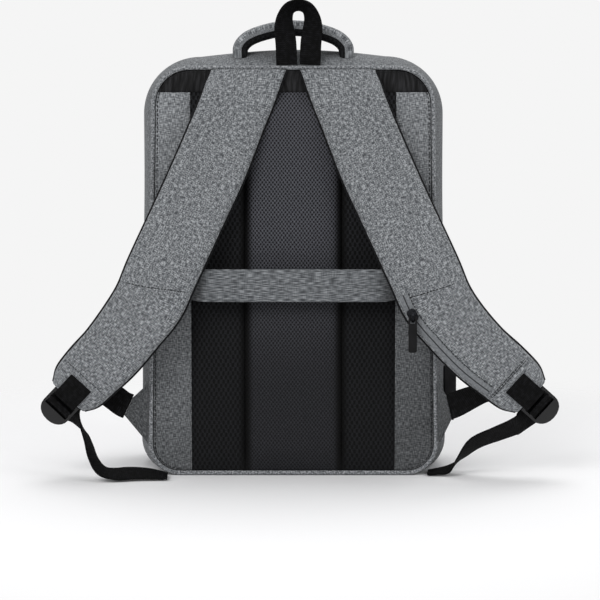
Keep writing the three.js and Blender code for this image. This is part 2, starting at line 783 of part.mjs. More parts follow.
// Ladder-lock buckle: a near bar in the tab, two slots round a middle bar, and a round grip.
function makeBuckle(side) {
  const w = buckleWidth / 2;
  const slotHalf = webbing / 2 + 2 * seatGap;
  const outline = new THREE.Shape();
  outline.moveTo(-w, 0);
  outline.lineTo(w, 0);
  outline.lineTo(w, 0.55 * buckleLength);
  outline.bezierCurveTo(w, 0.8 * buckleLength, 0.62 * w, buckleLength, 0, buckleLength);
  outline.bezierCurveTo(-0.62 * w, buckleLength, -w, 0.8 * buckleLength, -w, 0.55 * buckleLength);
  outline.closePath();
  const slotLow = nearBar;
  const secondLow = nearBar + nearSlot + middleBar;
  outline.holes.push(rectangle(new THREE.Path(), -slotHalf, slotHalf, slotLow, slotLow + nearSlot));
  outline.holes.push(rectangle(new THREE.Path(), -slotHalf, slotHalf, secondLow, secondLow + farSlot));
  return mirrorMesh(plate("buckle_" + side.name, outline, buckleFrame(side), buckleWall, blackPlastic), side);
}

// Side wing: a folded cloth tab from the back seam to the lower strap.
function wingCorners(side) {
  const turn = radians(side.wingTurn);
  const out = vec(Math.cos(turn), -Math.sin(turn), 0);
  const rootY = backY - seatGap - pipingRadius;
  const halfWidth = (z) => bagWidth / 2 + (bagFlare / 2) * (1 - z / bagHeight);
  const root = (z) => vec(halfWidth(z) + wingWall / 2 + seatGap, rootY, z);
  const tipCentre = root(wingHeight).addScaledVector(out, wingLength).add(vec(0, 0, 0.4 * wingTip));
  const tipLean = vec(-0.5 * out.x, -0.5 * out.y, 1).normalize();
  return {
    out,
    leave: vec(out.x, out.y, 0.5).normalize(),
    low: root(wingHeight - wingBase / 2),
    high: root(wingHeight + wingBase / 2),
    tipLow: tipCentre.clone().addScaledVector(tipLean, -wingTip / 2),
    tipHigh: tipCentre.clone().addScaledVector(tipLean, wingTip / 2),
  };
}

function makeWing(side) {
  const { out, low, high, tipLow, tipHigh } = wingCorners(side);
  const face = new THREE.Vector3().crossVectors(vec(0, 0, 1), out).normalize();
  const place = (share, up) =>
    low.clone().lerp(high, up).lerp(tipLow.clone().lerp(tipHigh, up), share);
  const shares = along(0, 1, 4);
  const grid = (shift) =>
    shares.map((share) => shares.map((up) => place(share, up).addScaledVector(face, shift)));
  const wing = slab("wing_" + side.name, grid(wingWall / 2), grid(-wingWall / 2), greyCloth);
  return mirrorMesh(wing, side);
}

// Adjusting strap from the wing, behind the shoulder strap, up through the far slot of the
// buckle, over its middle bar and down through the near slot.
function lowerStrapRows(side) {
  const { leave, tipLow, tipHigh } = wingCorners(side);
  const buckle = buckleFrame(side);
  const tipDown = tipLow.clone().sub(tipHigh).normalize();
  const start = tipLow.clone().lerp(tipHigh, 0.5).addScaledVector(leave, 2 * seatGap);
  const clear = buckleWall / 2 + webbingWall / 2 + seatGap;
  const middle = nearBar + nearSlot + middleBar / 2;
  const far = nearBar + nearSlot + middleBar + seatGap + webbingWall / 2;
  const near = nearBar + nearSlot - seatGap - webbingWall / 2;
  const inBuckle = (run, face) => ({
    place: offsetFrom(buckle, 0, face, run),
    across: buckle.across.clone(),
  });
  const approach = inBuckle(-0.6 * webbing, -strapLayer - 2.4 * webbingWall);
  const behind = approach.place.clone().lerp(start, 0.5).add(vec(0, 0.16 * webbing, 0.12 * webbing));
  return [
    { place: start, across: tipDown.clone() },
    { place: start.clone().addScaledVector(leave, 0.28 * webbing), across: tipDown.clone() },
    { place: behind, across: tipDown.clone().lerp(buckle.across, 0.5).normalize() },
    approach,
    inBuckle(0.3 * middle, -strapLayer),
    inBuckle(0.9 * far, -0.8 * strapLayer),
    inBuckle(far, 0),
    inBuckle(far - 0.25, clear - 0.25),
    inBuckle(middle, clear),
    inBuckle(near + 0.25, clear - 0.25),
    inBuckle(near, 0),
    inBuckle(near, -0.75 * clear),
  ];
}

function makeLowerStrap(side) {
  const path = smoothPath(lowerStrapRows(side), 44);
  return mirrorMesh(webbingAlong("lower_strap_" + side.name, path, webbing), side);
}

// Free tail: from the back of the lower strap behind the buckle down to the floor.
function makeTail(side) {
  const buckle = buckleFrame(side);
  const layer = -strapLayer - webbingWall - seatGap;
  const down = buckle.across.clone().multiplyScalar(buckle.across.z > 0 ? -1 : 1);
  const rows = [-0.3, 0.2].map((share, i) => ({
    place: buckle.place
      .clone()
      .addScaledVector(buckle.run, side.tailSeat)
      .addScaledVector(down, share * webbing)
      .addScaledVector(buckle.face, layer - i * 2 * webbingWall),
    across: buckle.run.clone().negate(),
  }));
  const place = (row) => vec(row.out * buckle.place.x, row.back * buckle.place.y, row.up * buckle.place.z);
  side.tail.forEach((row, i) => {
    const [before, after] = [side.tail[Math.max(i - 1, 0)], side.tail[Math.min(i + 1, side.tail.length - 1)]];
    const run = place(after).sub(place(before)).normalize();
    const near = new THREE.Vector3().crossVectors(vec(0, 0, 1), run).normalize();
    const up = new THREE.Vector3().crossVectors(run, near).normalize();
    const tip = radians(row.tip);
    const across = near.multiplyScalar(Math.cos(tip)).addScaledVector(up, Math.sin(tip));
    rows.push({ place: place(row), across });
  });
  return mirrorMesh(webbingAlong("strap_tail_" + side.name, smoothPath(rows, 36), webbing), side);
}

// Pocket zip on the right strap

const pocketSpan = [0.44, 0.81]; // where the zip starts and ends, as shares of the strap's table

function pocketStations(side) {
  return strapStations(side).filter(({ u }) => u >= pocketSpan[0] && u <= pocketSpan[1]);
}

function makePocketZip(side) {
  const profile = (s) => {
    const outer = s.width / 2 - pocketEdge;
    return [outer, 0.4 * s.width, outer - pocketTape].sort((a, b) => b - a).map((a) => -a);
  };
  const grid = (lift) =>
    pocketStations(side).map((s) => profile(s).map((a) => offsetFrom(s, a, faceHeight(s, a) + lift)));
  return mirrorMesh(slab("pocket_zip", grid(seatGap + 0.1 + tapeWall), grid(seatGap + 0.1), darkCloth), side);
}

// The slider's frame: on the tape, near its upper end.
function sliderFrame(side) {
  const s = pocketStations(side)[2];
  const a = s.width / 2 - pocketEdge - 0.5 * pocketTape;
  const highest = Math.max(faceHeight(s, a), faceHeight(s, a - 0.5 * sliderWidth));
  return { ...s, place: offsetFrom(s, -a, highest + 2 * seatGap + 0.2 + tapeWall) };
}

const pivotRise = 1.6; // slider top to the pull's pin
const pivotShift = 2; // the pin lies this far below the slider's middle
const bridgeWidth = 2.6;
const pinSize = 1.5;
const windowLength = 5;

// Slider: a low block on the tape and a bridge with a hole for the pull's pin, in one piece.
function makeSlider(side) {
  const frame = sliderFrame(side);
  const pull = pullFrame(side);
  const [halfWide, halfLong, clipped] = [sliderWidth / 2, sliderLength / 2, sliderWidth / 4];
  const corners = [
    [halfWide, halfLong - clipped],
    [halfWide - clipped, halfLong],
    [clipped - halfWide, halfLong],
    [-halfWide, halfLong - clipped],
  ];
  const around = [...corners, ...corners.map(([x, y]) => [-x, -y])];
  const block = new THREE.Shape(around.map(([x, y]) => new THREE.Vector2(x, y)));
  const blockFrame = { ...frame, place: offsetFrom(frame, 0, sliderWall / 2) };
  const bridge = new THREE.Shape();
  const foot = 0.42 * sliderLength;
  const rise = pivotRise + 2.6;
  bridge.moveTo(-foot, 0);
  bridge.lineTo(foot, 0);
  bridge.lineTo(foot, 1);
  bridge.lineTo(0.4 * foot, 1 + rise);
  bridge.lineTo(-0.4 * foot, 1 + rise);
  bridge.lineTo(-foot, 1);
  bridge.closePath();
  const reach = 0.75 * pinSize + 0.35;
  bridge.holes.push(rectangle(new THREE.Path(), -reach, reach, 1 + pivotRise - reach, 1 + pivotRise + reach));
  const bridgePlace = pull.place.clone().addScaledVector(frame.face, -pivotRise - 1);
  const bridgeFrame = { place: bridgePlace, across: pull.run, run: frame.face, face: pull.across };
  const parts = [
    plate("block", block, blockFrame, sliderWall),
    plate("bridge", bridge, bridgeFrame, bridgeWidth),
  ];
  return mirrorMesh(joined("zip_slider", parts, greyMetal), side);
}

// The pull hangs straight down along the strap's face from the slider's pin.
function pullFrame(side) {
  const frame = sliderFrame(side);
  const down = vec(0, 0, -1);
  const run = down.addScaledVector(frame.face, -down.dot(frame.face)).normalize();
  const across = new THREE.Vector3().crossVectors(run, frame.face).normalize();
  const place = offsetFrom(frame, 0, sliderWall + pivotRise).addScaledVector(run, pivotShift);
  return { ...frame, run, across, place };
}

function makePull(side) {
  const shape = new THREE.Shape();
  const w = pullWidth / 2;
  const top = -pinSize / 2;
  shape.moveTo(-w, top);
  shape.lineTo(w, top);
  shape.lineTo(w, pullLength - 0.6 * w);
  shape.quadraticCurveTo(w, pullLength, 0.4 * w, pullLength);
  shape.lineTo(-0.4 * w, pullLength);
  shape.quadraticCurveTo(-w, pullLength, -w, pullLength - 0.6 * w);
  shape.closePath();
  const windowHalf = bridgeWidth / 2 + 0.8;
  const windowTop = pinSize / 2 + windowLength;
  shape.holes.push(rectangle(new THREE.Path(), -windowHalf, windowHalf, pinSize / 2, windowTop));
  return mirrorMesh(plate("zip_pull", shape, pullFrame(side), pullWall, blackPlastic, 4), side);
}

// Main zip over the top of the gusset, its closed pull, and the charging port

function gussetStrip(y) {
  return gussetOutline(depthShare(y)).filter((p) => p.z > mainZipLow);
}

function makeMainZip() {
  const near = gussetStrip(frontY - mainZipInset - mainZipWidth);
  const far = gussetStrip(frontY - mainZipInset);
  const grid = (lift) =>
    near.map((p, i) => [
      vec(p.x + p.nx * lift, frontY - mainZipInset - mainZipWidth, p.z + p.nz * lift),
      vec(far[i].x + far[i].nx * lift, frontY - mainZipInset, far[i].z + far[i].nz * lift),
    ]);
  return slab("main_zip", grid(2 * seatGap + tapeWall), grid(2 * seatGap), darkCloth);
}

function makeMainPull() {
  const near = gussetStrip(frontY - mainZipInset - mainZipWidth)[0];
  const y = frontY - mainZipInset - mainZipWidth / 2;
  const low = near.z;
  const x = (z) => sideAt(z, y - mainZipWidth / 2) + 3.2 * seatGap + tapeWall;
  const heights = along(low - 0.45 * mainPullLength, low + 0.55 * mainPullLength, 4);
  const grid = (lift) =>
    heights.map((z) => [-1, 0, 1].map((side) => vec(x(z) + lift, y + (side * mainPullWidth) / 2, z)));
  return slab("main_zip_pull", grid(3), grid(0), blackPlastic);
}

function makePort() {
  const y = backY + portInset;
  const grid = (lift) =>
    along(portCentre - portHeight / 2, portCentre + portHeight / 2, 2).map((z) =>
      along(y - portWidth / 2, y + portWidth / 2, 4).map((depth) =>
        vec(lift > 0 ? sideAt(portCentre, y) + seatGap + lift : sideAt(z, depth) + seatGap, depth, z),
      ),
    );
  return slab("charging_port", grid(portProud), grid(0), blackPlastic);
}

const backpack = new THREE.Group();
backpack.name = "laptop_backpack";
backpack.add(makeGusset(), makeBasePanel(), ...makeBodyPanels());
backpack.add(makePiping("back_piping", backY - seatGap - pipingRadius, greyCloth));
backpack.add(makePiping("front_piping", frontY + seatGap + pipingRadius, greyCloth));
backpack.add(...makeHarnessPanels(), makeRearBand(), ...makeCarryHandle(), makeHangLoop());
for (const side of sides) {
  backpack.add(...makeStrap(side), makeTab(side), makeBuckle(side), makeWing(side));
  backpack.add(makeLowerStrap(side), makeTail(side));
}
const right = sides[1];
backpack.add(makePocketZip(right), makeSlider(right), makePull(right));
backpack.add(makeMainZip(), makeMainPull(), makePort());

export default backpack;
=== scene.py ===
# Laptop backpack: cloth, mesh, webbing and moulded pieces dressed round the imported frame.
import math
from functools import partial
from types import SimpleNamespace as named
import bpy
import numpy as np
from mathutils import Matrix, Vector


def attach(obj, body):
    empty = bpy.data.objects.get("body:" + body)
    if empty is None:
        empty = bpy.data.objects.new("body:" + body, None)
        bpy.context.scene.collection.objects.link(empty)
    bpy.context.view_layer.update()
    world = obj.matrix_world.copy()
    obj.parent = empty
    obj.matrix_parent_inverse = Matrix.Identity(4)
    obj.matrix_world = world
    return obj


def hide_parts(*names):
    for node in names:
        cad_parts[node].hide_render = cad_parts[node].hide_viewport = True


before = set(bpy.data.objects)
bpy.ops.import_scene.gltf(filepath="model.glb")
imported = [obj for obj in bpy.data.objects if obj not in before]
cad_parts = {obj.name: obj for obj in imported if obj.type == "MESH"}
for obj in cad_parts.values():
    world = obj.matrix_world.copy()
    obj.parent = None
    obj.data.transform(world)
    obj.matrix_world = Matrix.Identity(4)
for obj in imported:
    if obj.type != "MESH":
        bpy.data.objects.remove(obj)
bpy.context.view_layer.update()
mm = 0.001
print("frame loaded")


def addObject(name, data):
    made = bpy.data.objects.new(name, data)
    bpy.context.scene.collection.objects.link(made)
    return made



# Camera: a level look at the harness side from a little above, 1.8 m away
view = named(target=(6.5, 5.0, 164.2), elevation=5.0, distance=1800.0, lens=108.0, sensor=36.0)
tilt = math.radians(view.elevation)
aim = Vector(view.target) * mm
back = Vector((0, -math.cos(tilt), math.sin(tilt)))
cameraData = bpy.data.cameras.new("photoCamera")
cameraData.lens = view.lens
cameraData.sensor_width = view.sensor
camera = addObject("photoCamera", cameraData)
camera.location = aim + back * view.distance * mm
camera.rotation_mode = "QUATERNION"
camera.rotation_quaternion = (-back).to_track_quat("-Z", "Y")
bpy.context.scene.camera = camera


# Colour and materials

def hexColor(code):
    # sRGB hex to linear light: ((c + 0.055) / 1.055) to the power 2.4, and c / 12.92 for the darkest
    shares = [int(code[i:i + 2], 16) / 255 for i in (1, 3, 5)]
    return tuple(c / 12.92 if c <= 0.04045 else ((c + 0.055) / 1.055) ** 2.4 for c in shares) + (1.0,)


def addNode(tree, kind, settings=None, inputs=None):
    # A node with its settings and inputs. A setting that is text alone is the node's operation, and
    # a node given as an input stands for its first output.
    node = tree.nodes.new("ShaderNode" + kind)
    if isinstance(settings, str):
        settings = {"operation": settings}
    for key, value in (settings or {}).items():
        setattr(node, key, value)
    for key, value in (inputs or {}).items():
        if isinstance(value, bpy.types.Node):
            value = value.outputs[0]
        if isinstance(value, bpy.types.NodeSocket):
            tree.links.new(value, node.inputs[key])
        else:
            node.inputs[key].default_value = value
    return node


def bareTree(owner):  # empties the node tree of a material or world: the call that adds to it
    owner.use_nodes = True
    owner.node_tree.nodes.clear()
    return partial(addNode, owner.node_tree)


def startMaterial(name, weave=True):  # a bare material, its adding call and the place on its surface
    material = bpy.data.materials.new(name)
    add = bareTree(material)
    if weave:
        return material, add, add("UVMap", {"uv_map": "weave"})
    return material, add, add("TexCoord").outputs["Object"]


def finishMaterial(material, add, gloss, colour, height, strength, relief, more=None):
    # The shader: gloss is its roughness and specular level, and its bump has the relief in metres.
    bump = add("Bump", None, {"Strength": strength, "Distance": relief, "Height": height})
    sockets = {"Roughness": gloss[0], "Specular IOR Level": gloss[1], **(more or {})}
    body = add("BsdfPrincipled", None, {**sockets, "Base Color": colour, "Normal": bump})
    add("OutputMaterial", None, {"Surface": body})
    return material


def rampBetween(add, factor, stops):  # colour ramp with the given hex colours at their positions
    ramp = add("ValToRGB", None, {0: factor})
    while len(ramp.color_ramp.elements) < len(stops):
        ramp.color_ramp.elements.new(1.0)
    for element, (position, code) in zip(ramp.color_ramp.elements, stops.items()):
        element.position = position
        element.color = hexColor(code)
    return ramp


flatNoise = {"noise_dimensions": "2D"}
soften = {"interpolation_type": "SMOOTHSTEP"}


# Plain-weave polyester of dark and light yarns: matt, slubby, cross-hatched along the threads.
# The real thread is 0.5 mm; it is drawn coarser so that it shows at one pixel a millimetre.
# Tone: the noise of threads that run one way mixed with that of threads that run the other way.
# Painted shade: the lower and right-hand parts of a wall are painted darker, as the shade that falls there.
# Its numbers: low and high place, least share.
def melangeCloth(name, thread, slub, lean, stops, blotch, relief, shade=None):
    material, add, place = startMaterial(name)
    unlike = 37.0  # moves the second set of threads to another part of the noise
    large, fine = 1 / (slub * thread), 1 / thread
    tones = []
    for size, shift in (((fine, large, 1), 0.0), ((large, fine, 1), unlike)):
        scaled = add("VectorMath", "MULTIPLY_ADD", {0: place, 1: size, 2: (shift, shift, 0)})
        tones.append(add("TexNoise", flatNoise, {"Vector": scaled, "Scale": 1.0, "Detail": 0.0}))
    turns = add("VectorMath", "SCALE", {0: place, "Scale": math.pi / thread})
    axes = add("SeparateXYZ", None, {0: turns})
    waves = [add("Math", "SINE", {0: axes.outputs[i]}) for i in (0, 1)]
    crossing = add("Math", "MULTIPLY", {0: waves[0], 1: waves[1]})
    yarn = add("Mix", {"data_type": "FLOAT"}, {0: 0.5 - lean, 2: tones[0], 3: tones[1]})
    cloud = add("TexNoise", flatNoise, {"Vector": place, "Scale": 1 / blotch, "Detail": 2.0})
    shifted = add("Math", "MULTIPLY_ADD", {0: cloud, 1: 0.06, 2: -0.03})
    tone = add("Math", "ADD", {0: yarn, 1: shifted})
    colour = rampBetween(add, tone, stops)
    # painted shade: the colour darkens towards the bottom and the right-hand side of the wall
    if shade:
        across = add("VectorMath", "DOT_PRODUCT", {0: place, 1: (-0.35, 1, 0)}).outputs[1]
        share = add("MapRange", None, {0: across, 4: 1.0, **dict(enumerate(shade, 1))})
        colour = add("VectorMath", "SCALE", {0: colour, "Scale": share})
    rise = add("Math", "ABSOLUTE", {0: crossing})
    height = add("Math", "MULTIPLY_ADD", {0: yarn, 1: 1.2, 2: rise})
    sheen = {"Sheen Weight": 0.12, "Sheen Roughness": 0.6}
    return finishMaterial(material, add, (0.92, 0.25), colour, height, 0.5, relief, sheen)


# Warp-knitted spacer mesh: open staggered holes between matt strands. The holes are painted near black: the
# dark layer beneath them and painted shade in their depth.
# Holes: where cos x times cos y passes the given value. Fade, a painted shade that darkens the strands lower
# down: low and high place, least share.
# Painted shade: it blackens towards the crease between pad and channel. Crease shade: two distances from the
# middle, two shares.
def spacerMesh(name, pitch, hole, edge, strand, shade, fade, relief, creaseShade=None):
    material, add, place = startMaterial(name)
    wander = add("TexNoise", flatNoise, {"Vector": place, "Scale": 130.0, "Detail": 1.0})
    uneven = (0.0011, 0.0011, 0)
    jitter = add("VectorMath", "MULTIPLY_ADD", {0: wander.outputs[1], 1: uneven, 2: place})
    wide = tuple(2 * math.pi / p for p in pitch) + (1,)
    scaled = add("VectorMath", "MULTIPLY", {0: jitter, 1: wide})
    axes = add("SeparateXYZ", None, {0: scaled})
    waves = [add("Math", "COSINE", {0: axes.outputs[i]}) for i in (0, 1)]
    field = add("Math", "MULTIPLY", {0: waves[0], 1: waves[1]})
    gaps = add("MapRange", soften, {0: field, 1: hole - edge, 2: hole + edge})
    grain = add("TexNoise", flatNoise, {"Vector": place, "Scale": 900.0, "Detail": 1.0})
    strandTone = rampBetween(add, grain, strand)
    spot = add("SeparateXYZ", None, {0: place})
    # painted shade: the strands darker lower down
    lower = add("MapRange", soften, {0: spot.outputs[1], 4: 1.0, **dict(enumerate(fade, 1))})
    strandsWithPaintedShade = add("VectorMath", "SCALE", {0: strandTone, "Scale": lower})
    # holes painted near black: the dark layer beneath and painted shade
    colour = add("Mix", {"data_type": "RGBA"}, {0: gaps, 6: strandsWithPaintedShade, 7: hexColor(shade)}).outputs[2]
    # painted shade in the crease between pad and channel
    if creaseShade:
        away = add("Math", "ABSOLUTE", {0: spot})
        share = add("MapRange", soften, {0: away, **dict(enumerate(creaseShade, 1))})
        colour = add("VectorMath", "SCALE", {0: colour, "Scale": share})
    closed = add("Math", "SUBTRACT", {0: 1.0, 1: gaps})
    return finishMaterial(material, add, (0.85, 0.2), colour, closed, 0.7, relief)


# Ribbed nylon webbing: near black, with fine zigzag ribs across. The rib crests are painted a little lighter,
# a painted highlight, over a random mottle.
def ribbedWebbing(name, rib, stops, relief):
    material, add, place = startMaterial(name)
    scaled = add("VectorMath", "SCALE", {0: place, "Scale": 2 * math.pi / rib})
    axes = add("SeparateXYZ", None, {0: scaled})
    across = add("Math", "MULTIPLY", {0: axes, 1: 0.8})
    zigzag = add("Math", "SINE", {0: across})
    along = add("Math", "MULTIPLY_ADD", {0: zigzag, 1: 0.9, 2: axes.outputs[1]})
    ribs = add("Math", "SINE", {0: along})
    mottle = add("TexNoise", flatNoise, {"Vector": place, "Scale": 260.0, "Detail": 2.0})
    # painted highlight on the rib crests, mixed with the mottle
    mottleAndRibHighlight = add("Math", "MULTIPLY_ADD", {0: ribs, 1: 0.16, 2: mottle})
    return finishMaterial(material, add, (0.8, 0.1), rampBetween(add, mottleAndRibHighlight, stops), ribs, 0.55, relief)


# Plastic, metal or thread: a cloudy colour under a fine grain. Cloud and grain: scale and detail.
# Moulded plastic has the fine grain of a spark-eroded mould; thread a fuzz too fine to see singly.
def grainy(name, gloss, stops, cloud, grain, strength, more=None):
    material, add, place = startMaterial(name, weave=False)
    noises = [add("TexNoise", None, {"Vector": place, "Scale": scale, "Detail": detail})
              for scale, detail in (cloud, grain)]
    colour = rampBetween(add, noises[0], stops)
    return finishMaterial(material, add, gloss, colour, noises[1], strength, 0.0001, more)


# Warp-knitted black lining cloth: long vertical ribs that wander a little, dull.
def knitCloth(name, rib, stops, relief):
    material, add, place = startMaterial(name)
    bend = add("TexNoise", flatNoise, {"Vector": place, "Scale": 22.0, "Detail": 1.0})
    uneven = (0.012, 0.012, 0)
    moved = add("VectorMath", "MULTIPLY_ADD", {0: bend.outputs[1], 1: uneven, 2: place})
    scaled = add("VectorMath", "MULTIPLY", {0: moved, 1: (1 / rib, 0.12 / rib, 1)})
    streak = add("TexNoise", flatNoise, {"Vector": scaled, "Scale": 1.0, "Detail": 2.0})
    return finishMaterial(material, add, (0.88, 0.2), rampBetween(add, streak, stops), streak, 0.5, relief)


# Woven polyester zip tape with a nylon coil: fine ribs, a dark line where the coils meet.
def zipTape(name, halfCoil, tape, coil):
    material, add, place = startMaterial(name)
    ribPitch = 0.0016
    axes = add("SeparateXYZ", None, {0: place})
    away = add("Math", "ABSOLUTE", {0: axes})
    coils = add("MapRange", None, {0: away, 1: halfCoil * 0.6, 2: halfCoil * 1.4})
    turns = add("Math", "MULTIPLY", {0: axes.outputs[1], 1: 2 * math.pi / ribPitch})
    ribs = add("Math", "SINE", {0: turns})
    tone = add("TexNoise", flatNoise, {"Vector": place, "Scale": 500.0})
    cloth = rampBetween(add, tone, tape)
    colour = add("Mix", {"data_type": "RGBA"}, {0: coils, 6: hexColor(coil), 7: cloth}).outputs[2]
    return finishMaterial(material, add, (0.75, 0.3), colour, ribs, 0.4, 0.0002)


# Colour stops of the melange cloths, from the darkest thread to the lightest
greyStops = {0.3: "#424448", 0.45: "#66696c", 0.55: "#7a7d80", 0.72: "#a8abae"}
panelStops = {0.3: "#4f5155", 0.45: "#737679", 0.55: "#86898c", 0.72: "#adb0b3"}
bandStops = {0.28: "#3d3f42", 0.45: "#5a5d60", 0.55: "#676a6d", 0.74: "#8c8f92"}
cloths = {
    "strap": melangeCloth("melangeStrapCloth", 0.8 * mm, 5.0, 0.0, greyStops, 0.03, 0.00035),
    "panel": melangeCloth("melangePanelCloth", 0.8 * mm, 5.0, 0.0, panelStops, 0.02, 0.0003,
                          shade=(0.0, 0.36, 0.3)),
    # Painted shade: the gusset cloth, also used on the front panel, takes the darker band stops. Its top, lit
    # from above, then comes out darker than the straps and panels of the same grey cloth.
    "gusset": melangeCloth("melangeGussetCloth", 0.8 * mm, 5.0, 0.0, bandStops, 0.03, 0.0003),
    "band": melangeCloth("melangeBandCloth", 0.8 * mm, 9.0, 0.3, bandStops, 0.02, 0.0003),
    "piping": melangeCloth("pipingCloth", 1.2 * mm, 2.0, 0.0,
                           {0.3: "#4a4c4f", 0.5: "#75787b", 0.7: "#a0a2a5"}, 0.01, 0.0002),
    "yoke": knitCloth("blackKnitYoke", 2.6 * mm,
                      {0.3: "#0c0c0d", 0.5: "#1a1a1b", 0.72: "#2a2a2c"}, 0.0004),
    "lining": knitCloth("blackLining", 1.6 * mm,
                        {0.3: "#09090a", 0.5: "#111112", 0.75: "#1d1d1f"}, 0.0002),
    # Channel and pad: painted shade darkens them lower down and towards the crease between them.
    "channel": spacerMesh("openSpacerMesh", (4.6 * mm, 8.0 * mm), 0.1, 0.22,
                          {0.3: "#131416", 0.7: "#26272a"}, "#020203", (0.05, 0.33, 0.55), 0.0008,
                          (0.047, 0.054, 0.1, 1.0)),
    "pad": spacerMesh("fineSpacerMesh", (3.4 * mm, 4.4 * mm), 0.15, 0.5,
                      {0.3: "#3d3e43", 0.7: "#58595f"}, "#121214", (0.08, 0.26, 0.28), 0.0005,
                      (0.0375, 0.045, 1.0, 0.05)),
    "underside": spacerMesh("strapBackMesh", (3.4 * mm, 5.2 * mm), 0.2, 0.25,
                            {0.3: "#101113", 0.7: "#1e1f21"}, "#040405", (0.0, 0.1, 1.0), 0.0005),
    "webbing": ribbedWebbing("blackWebbing", 1.9 * mm,
                             {0.3: "#040404", 0.55: "#0a0a0b", 0.8: "#161618"}, 0.0003),
    "buckle": grainy("acetalBuckle", (0.22, 0.4), {0.3: "#050506", 0.7: "#0c0c0e"},
                     (120.0, 1.0), (1 / 0.0004, 2.0), 0.25),
    "pull": grainy("mouldedPull", (0.42, 0.2), {0.3: "#060607", 0.7: "#111113"},
                   (120.0, 1.0), (1 / 0.0005, 2.0), 0.25),
    "port": grainy("mouldedPort", (0.5, 0.35), {0.3: "#0e0e10", 0.7: "#1c1c1f"},
                   (120.0, 1.0), (1 / 0.0006, 2.0), 0.25),
    # Die-cast zinc with a gunmetal plating: soft sheen, faint cloudiness
    "slider": grainy("gunmetalSlider", (0.38, 0.5), {0.3: "#1d1e20", 0.7: "#323337"},
                     (700.0, 2.0), (700.0, 2.0), 0.15, {"Metallic": 1.0}),
    "darkThread": grainy("darkThread", (0.8, 0.3), {0.3: "#0c0c0d", 0.7: "#1b1c1e"},
                         (1500.0, 2.0), (1500.0, 2.0), 0.3),
    "pocketTape": zipTape("greyZipTape", 0.0006, {0.3: "#66696c", 0.7: "#7b7e81"}, "#2a2b2d"),
    "mainTape": zipTape("blackZipTape", 0.0022, {0.3: "#131315", 0.7: "#1f1f22"}, "#08080a"),
}
# The frame's slot that each material stands for
slots = {**dict.fromkeys(("strap", "panel", "gusset", "band", "piping"), "grey_fabric"),
         **dict.fromkeys(("yoke", "lining", "pocketTape", "mainTape"), "dark_fabric"),
         **dict.fromkeys(("channel", "pad", "underside"), "mesh_fabric"),
         **dict.fromkeys(("buckle", "pull"), "buckle_plastic"),
         "webbing": "webbing", "slider": "zip_metal", "port": "port_plastic"}
print("materials made")


# Mesh helpers. All shapes are worked out in millimetres and stored in metres.

def makeMesh(name, points, quads, caps, loopUv, cloth, node=None, body="bag", angle=50):
    quads = np.asarray(quads, np.int32).reshape(-1, 4)
    corners = points[quads]
    middle = points.mean(0)
    a, b, c, d = (corners[:, i] - middle for i in range(4))
    volume = (a * np.cross(b, c)).sum() + (a * np.cross(c, d)).sum()
    for cap in caps:
        ring = points[np.asarray(cap)] - middle
        volume += (ring[0] * np.cross(ring[1:-1], ring[2:])).sum()
    capUv = [loopUv[1][i] for i in range(len(caps))] if caps else []
    quadUv = loopUv[0]
    if volume < 0:
        quads, quadUv = quads[:, ::-1], quadUv[:, ::-1]
        caps, capUv = [list(c)[::-1] for c in caps], [u[::-1] for u in capUv]
    mesh = bpy.data.meshes.new(name)
    loops = np.concatenate([quads.ravel(), *[np.asarray(c, np.int32) for c in caps]]).astype(np.int32)
    sizes = np.array([4] * len(quads) + [len(c) for c in caps])
    mesh.vertices.add(len(points))
    mesh.vertices.foreach_set("co", (points * mm).astype(np.float32).ravel())
    mesh.loops.add(len(loops))
    mesh.loops.foreach_set("vertex_index", loops)
    mesh.polygons.add(len(sizes))
    mesh.polygons.foreach_set("loop_start", (np.cumsum(sizes) - sizes).astype(np.int32))
    mesh.update(calc_edges=True)
    layer = mesh.uv_layers.new(name="weave")
    uv = np.concatenate([quadUv.reshape(-1, 2), *[np.asarray(u).reshape(-1, 2) for u in capUv]])
    layer.data.foreach_set("uv", (uv * mm).astype(np.float32).ravel())
    mesh.validate()
    mesh.polygons.foreach_set("use_smooth", np.ones(len(mesh.polygons), bool))
    mesh.set_sharp_from_angle(angle=math.radians(angle))
    mesh.materials.append(cloths[cloth])
    piece = addObject(name, mesh)
    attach(piece, body)
    if node:
        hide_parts(*([node] if isinstance(node, str) else node))
    return piece


def slab(name, grids, cloth, uv=None, **rest):
    # A sheet with thickness: the outer grid and the inner grid, joined along their four edges. Its
    # weave lies in X and Z unless it is given.
    outer, inner = grids
    uv = outer[..., [0, 2]] if uv is None else uv
    rows, columns = outer.shape[:2]
    points = np.concatenate([outer.reshape(-1, 3), inner.reshape(-1, 3)])
    index = np.arange(rows * columns).reshape(rows, columns)
    cells = np.stack([index[:-1, :-1], index[1:, :-1], index[1:, 1:], index[:-1, 1:]], 2).reshape(-1, 4)
    under = cells[:, ::-1] + rows * columns
    edge = np.concatenate([index[0, :-1], index[:-1, -1], index[-1, :0:-1], index[:0:-1, 0]])
    after = np.roll(edge, -1)
    walls = np.stack([edge, after, after + rows * columns, edge + rows * columns], 1)
    flat = uv.reshape(-1, 2)
    wallUv = np.stack([flat[edge], flat[after], flat[after], flat[edge]], 1)
    topUv = flat[cells]
    loopUv = np.concatenate([topUv, topUv[:, ::-1], wallUv])
    return makeMesh(name, points, np.concatenate([cells, under, walls]), [], (loopUv, []), cloth, **rest)


